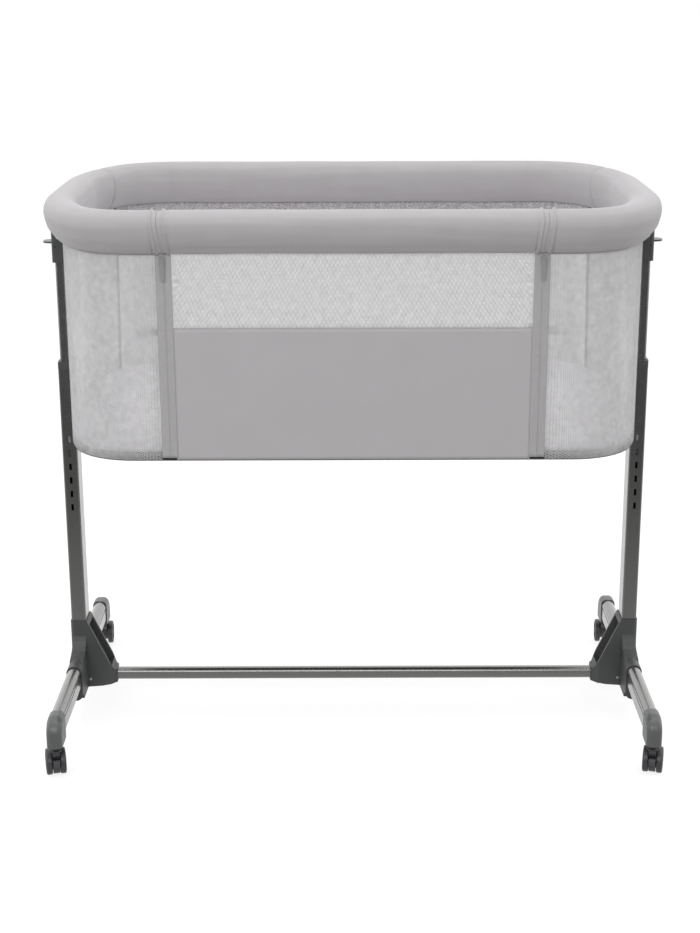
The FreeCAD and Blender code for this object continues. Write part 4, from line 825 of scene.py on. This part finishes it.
mattress_knit, tree, shader = new_material("mattress_knit")
shader.inputs["Roughness"].default_value = 0.85
shader.inputs["Sheen Weight"].default_value = 0.3
shader.inputs["Specular IOR Level"].default_value = 0.2
tree.links.new(colour_between(tree, link_noise(tree, 22, 4).outputs["Fac"],
                              (0.83, 0.815, 0.84), (0.89, 0.875, 0.90)),
               shader.inputs["Base Color"])
bump(tree, shader, link_noise(tree, 1000, 1).outputs["Fac"], 0.2, 0.0004)
mattress_levels = [(-0.0143, 0.5058, 1), (-0.0143, 0.5058, 0.5), (-0.0143, 0.5058, 0.02),
                   (-0.0143, 0.5060, 0), (-0.0143, 0.5094, 0), (-0.0075, 0.5098, 0),
                   (-0.0040, 0.5108, 0), (-0.0028, 0.5125, 0), (-0.0028, 0.5145, 0),
                   (-0.0050, 0.5168, 0), (-0.0085, 0.5186, 0), (-0.0140, 0.5199, 0),
                   (-0.022, 0.5206, 0), (-0.035, 0.5210, 0), (-0.060, 0.5214, 0),
                   (-0.075, 0.5217, 0.2), (-0.075, 0.5220, 0.5), (-0.075, 0.5222, 0.8),
                   (-0.075, 0.5223, 1)]
pad = round_slab("mattress_pad", mattress_levels)
pad.data.materials.append(mattress_knit)
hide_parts("mattress")
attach(pad, "basket")

# ---------------------------------------------------------------- zips
# Coil zips join the drop side to the ends: two woven tapes, each with half of the coil along its
# edge. One tape is sewn to the end's net, the other to the drop side.
zip_weave, tree, shader = new_material("zip_weave")
shader.inputs["Roughness"].default_value = 0.7
tree.links.new(colour_between(tree, link_noise(tree, 120, 3).outputs["Fac"],
                              (0.44, 0.43, 0.44), (0.51, 0.50, 0.51)), shader.inputs["Base Color"])
bump(tree, shader, link_noise(tree, 1500, 1, stretch=(1, 1, 0.3)).outputs["Fac"], 0.3, 0.0003)


TAPE_FOOT, TAPE_TOP = 0.503, 0.8005


def tape_place(coil_x, edge_x):
    """A tape on the front wall from its coil to its sewn edge, standing out at the coil."""
    def place(u, v):
        height = TAPE_FOOT + (TAPE_TOP - TAPE_FOOT) * v
        x = coil_x + (edge_x - coil_x) * u
        coil = 0.0011 * math.exp(-(abs(x - coil_x) / 0.0011) ** 2)
        sewn = -0.0004 * math.exp(-(abs(x - edge_x) / 0.0010) ** 2)
        return wall_point(front_key(x, height), height, 0.0010 + coil + sewn)
    return place


def zip_tapes(name, node, body, coil_x, edge_x):
    """The tapes of both zips on one side of the coil, as one piece of two strips."""
    strips = []
    for sign in (-1, 1):
        strip = wrapped_grid(f"{name}_{'left' if sign < 0 else 'right'}", 12, 60,
                             tape_place(sign * coil_x, sign * edge_x))
        if (edge_x - coil_x) * sign < 0:
            strip.data.flip_normals()
        thicken(strip, 0.0008)
        strips.append(strip)
    deselect()
    for strip in strips:
        strip.select_set(True)
    bpy.context.view_layer.objects.active = strips[0]
    bpy.ops.object.join()
    tapes = bpy.context.object
    tapes.name = tapes.data.name = name
    tapes.data.materials.append(zip_weave)
    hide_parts(node)
    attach(tapes, body)


zip_tapes("frame_zip_cloth", "frame_zip_tapes", "basket", 0.2612, 0.2722)
zip_tapes("panel_zip_cloth", "panel_zip_tapes", "front_panel", 0.2606, 0.2502)

# ---------------------------------------------------------------- rear strap
# A dark webbing strap for tying the crib to a bed lies along the outside of the rear wall and
# ends in the rear corners.
strap_weave, tree, shader = new_material("strap_weave")
shader.inputs["Roughness"].default_value = 0.75
tree.links.new(colour_between(tree, link_noise(tree, 300, 3).outputs["Fac"],
                              (0.10, 0.10, 0.10), (0.16, 0.16, 0.16)), shader.inputs["Base Color"])
bump(tree, shader, link_noise(tree, 1300, 1, stretch=(0.4, 0.4, 1)).outputs["Fac"], 0.4, 0.0004)
STRAP_FOOT, STRAP_TALL, STRAP_REACH = 0.562, 0.012, 0.371
STRAP_LENGTH, STRAP_OUT = 0.790, 0.0019


def strap_start(height):
    """Key of the rear corner where the strap ends."""
    low, high = 2.0, 3.0
    for _ in range(30):
        middle = (low + high) / 2
        low, high = (middle, high) if wall_point(middle, height).x > STRAP_REACH else (low, middle)
    return low


def strap_place(u, v):
    height = STRAP_FOOT + STRAP_TALL * v
    start = strap_start(height)
    return wall_point(start + (7 - 2 * start) * u, height, STRAP_OUT)


wall_sheet("rear_strap_webbing", "rear_strap", "basket", 90, 4, strap_place,
           strap_weave, thick=0.0013)
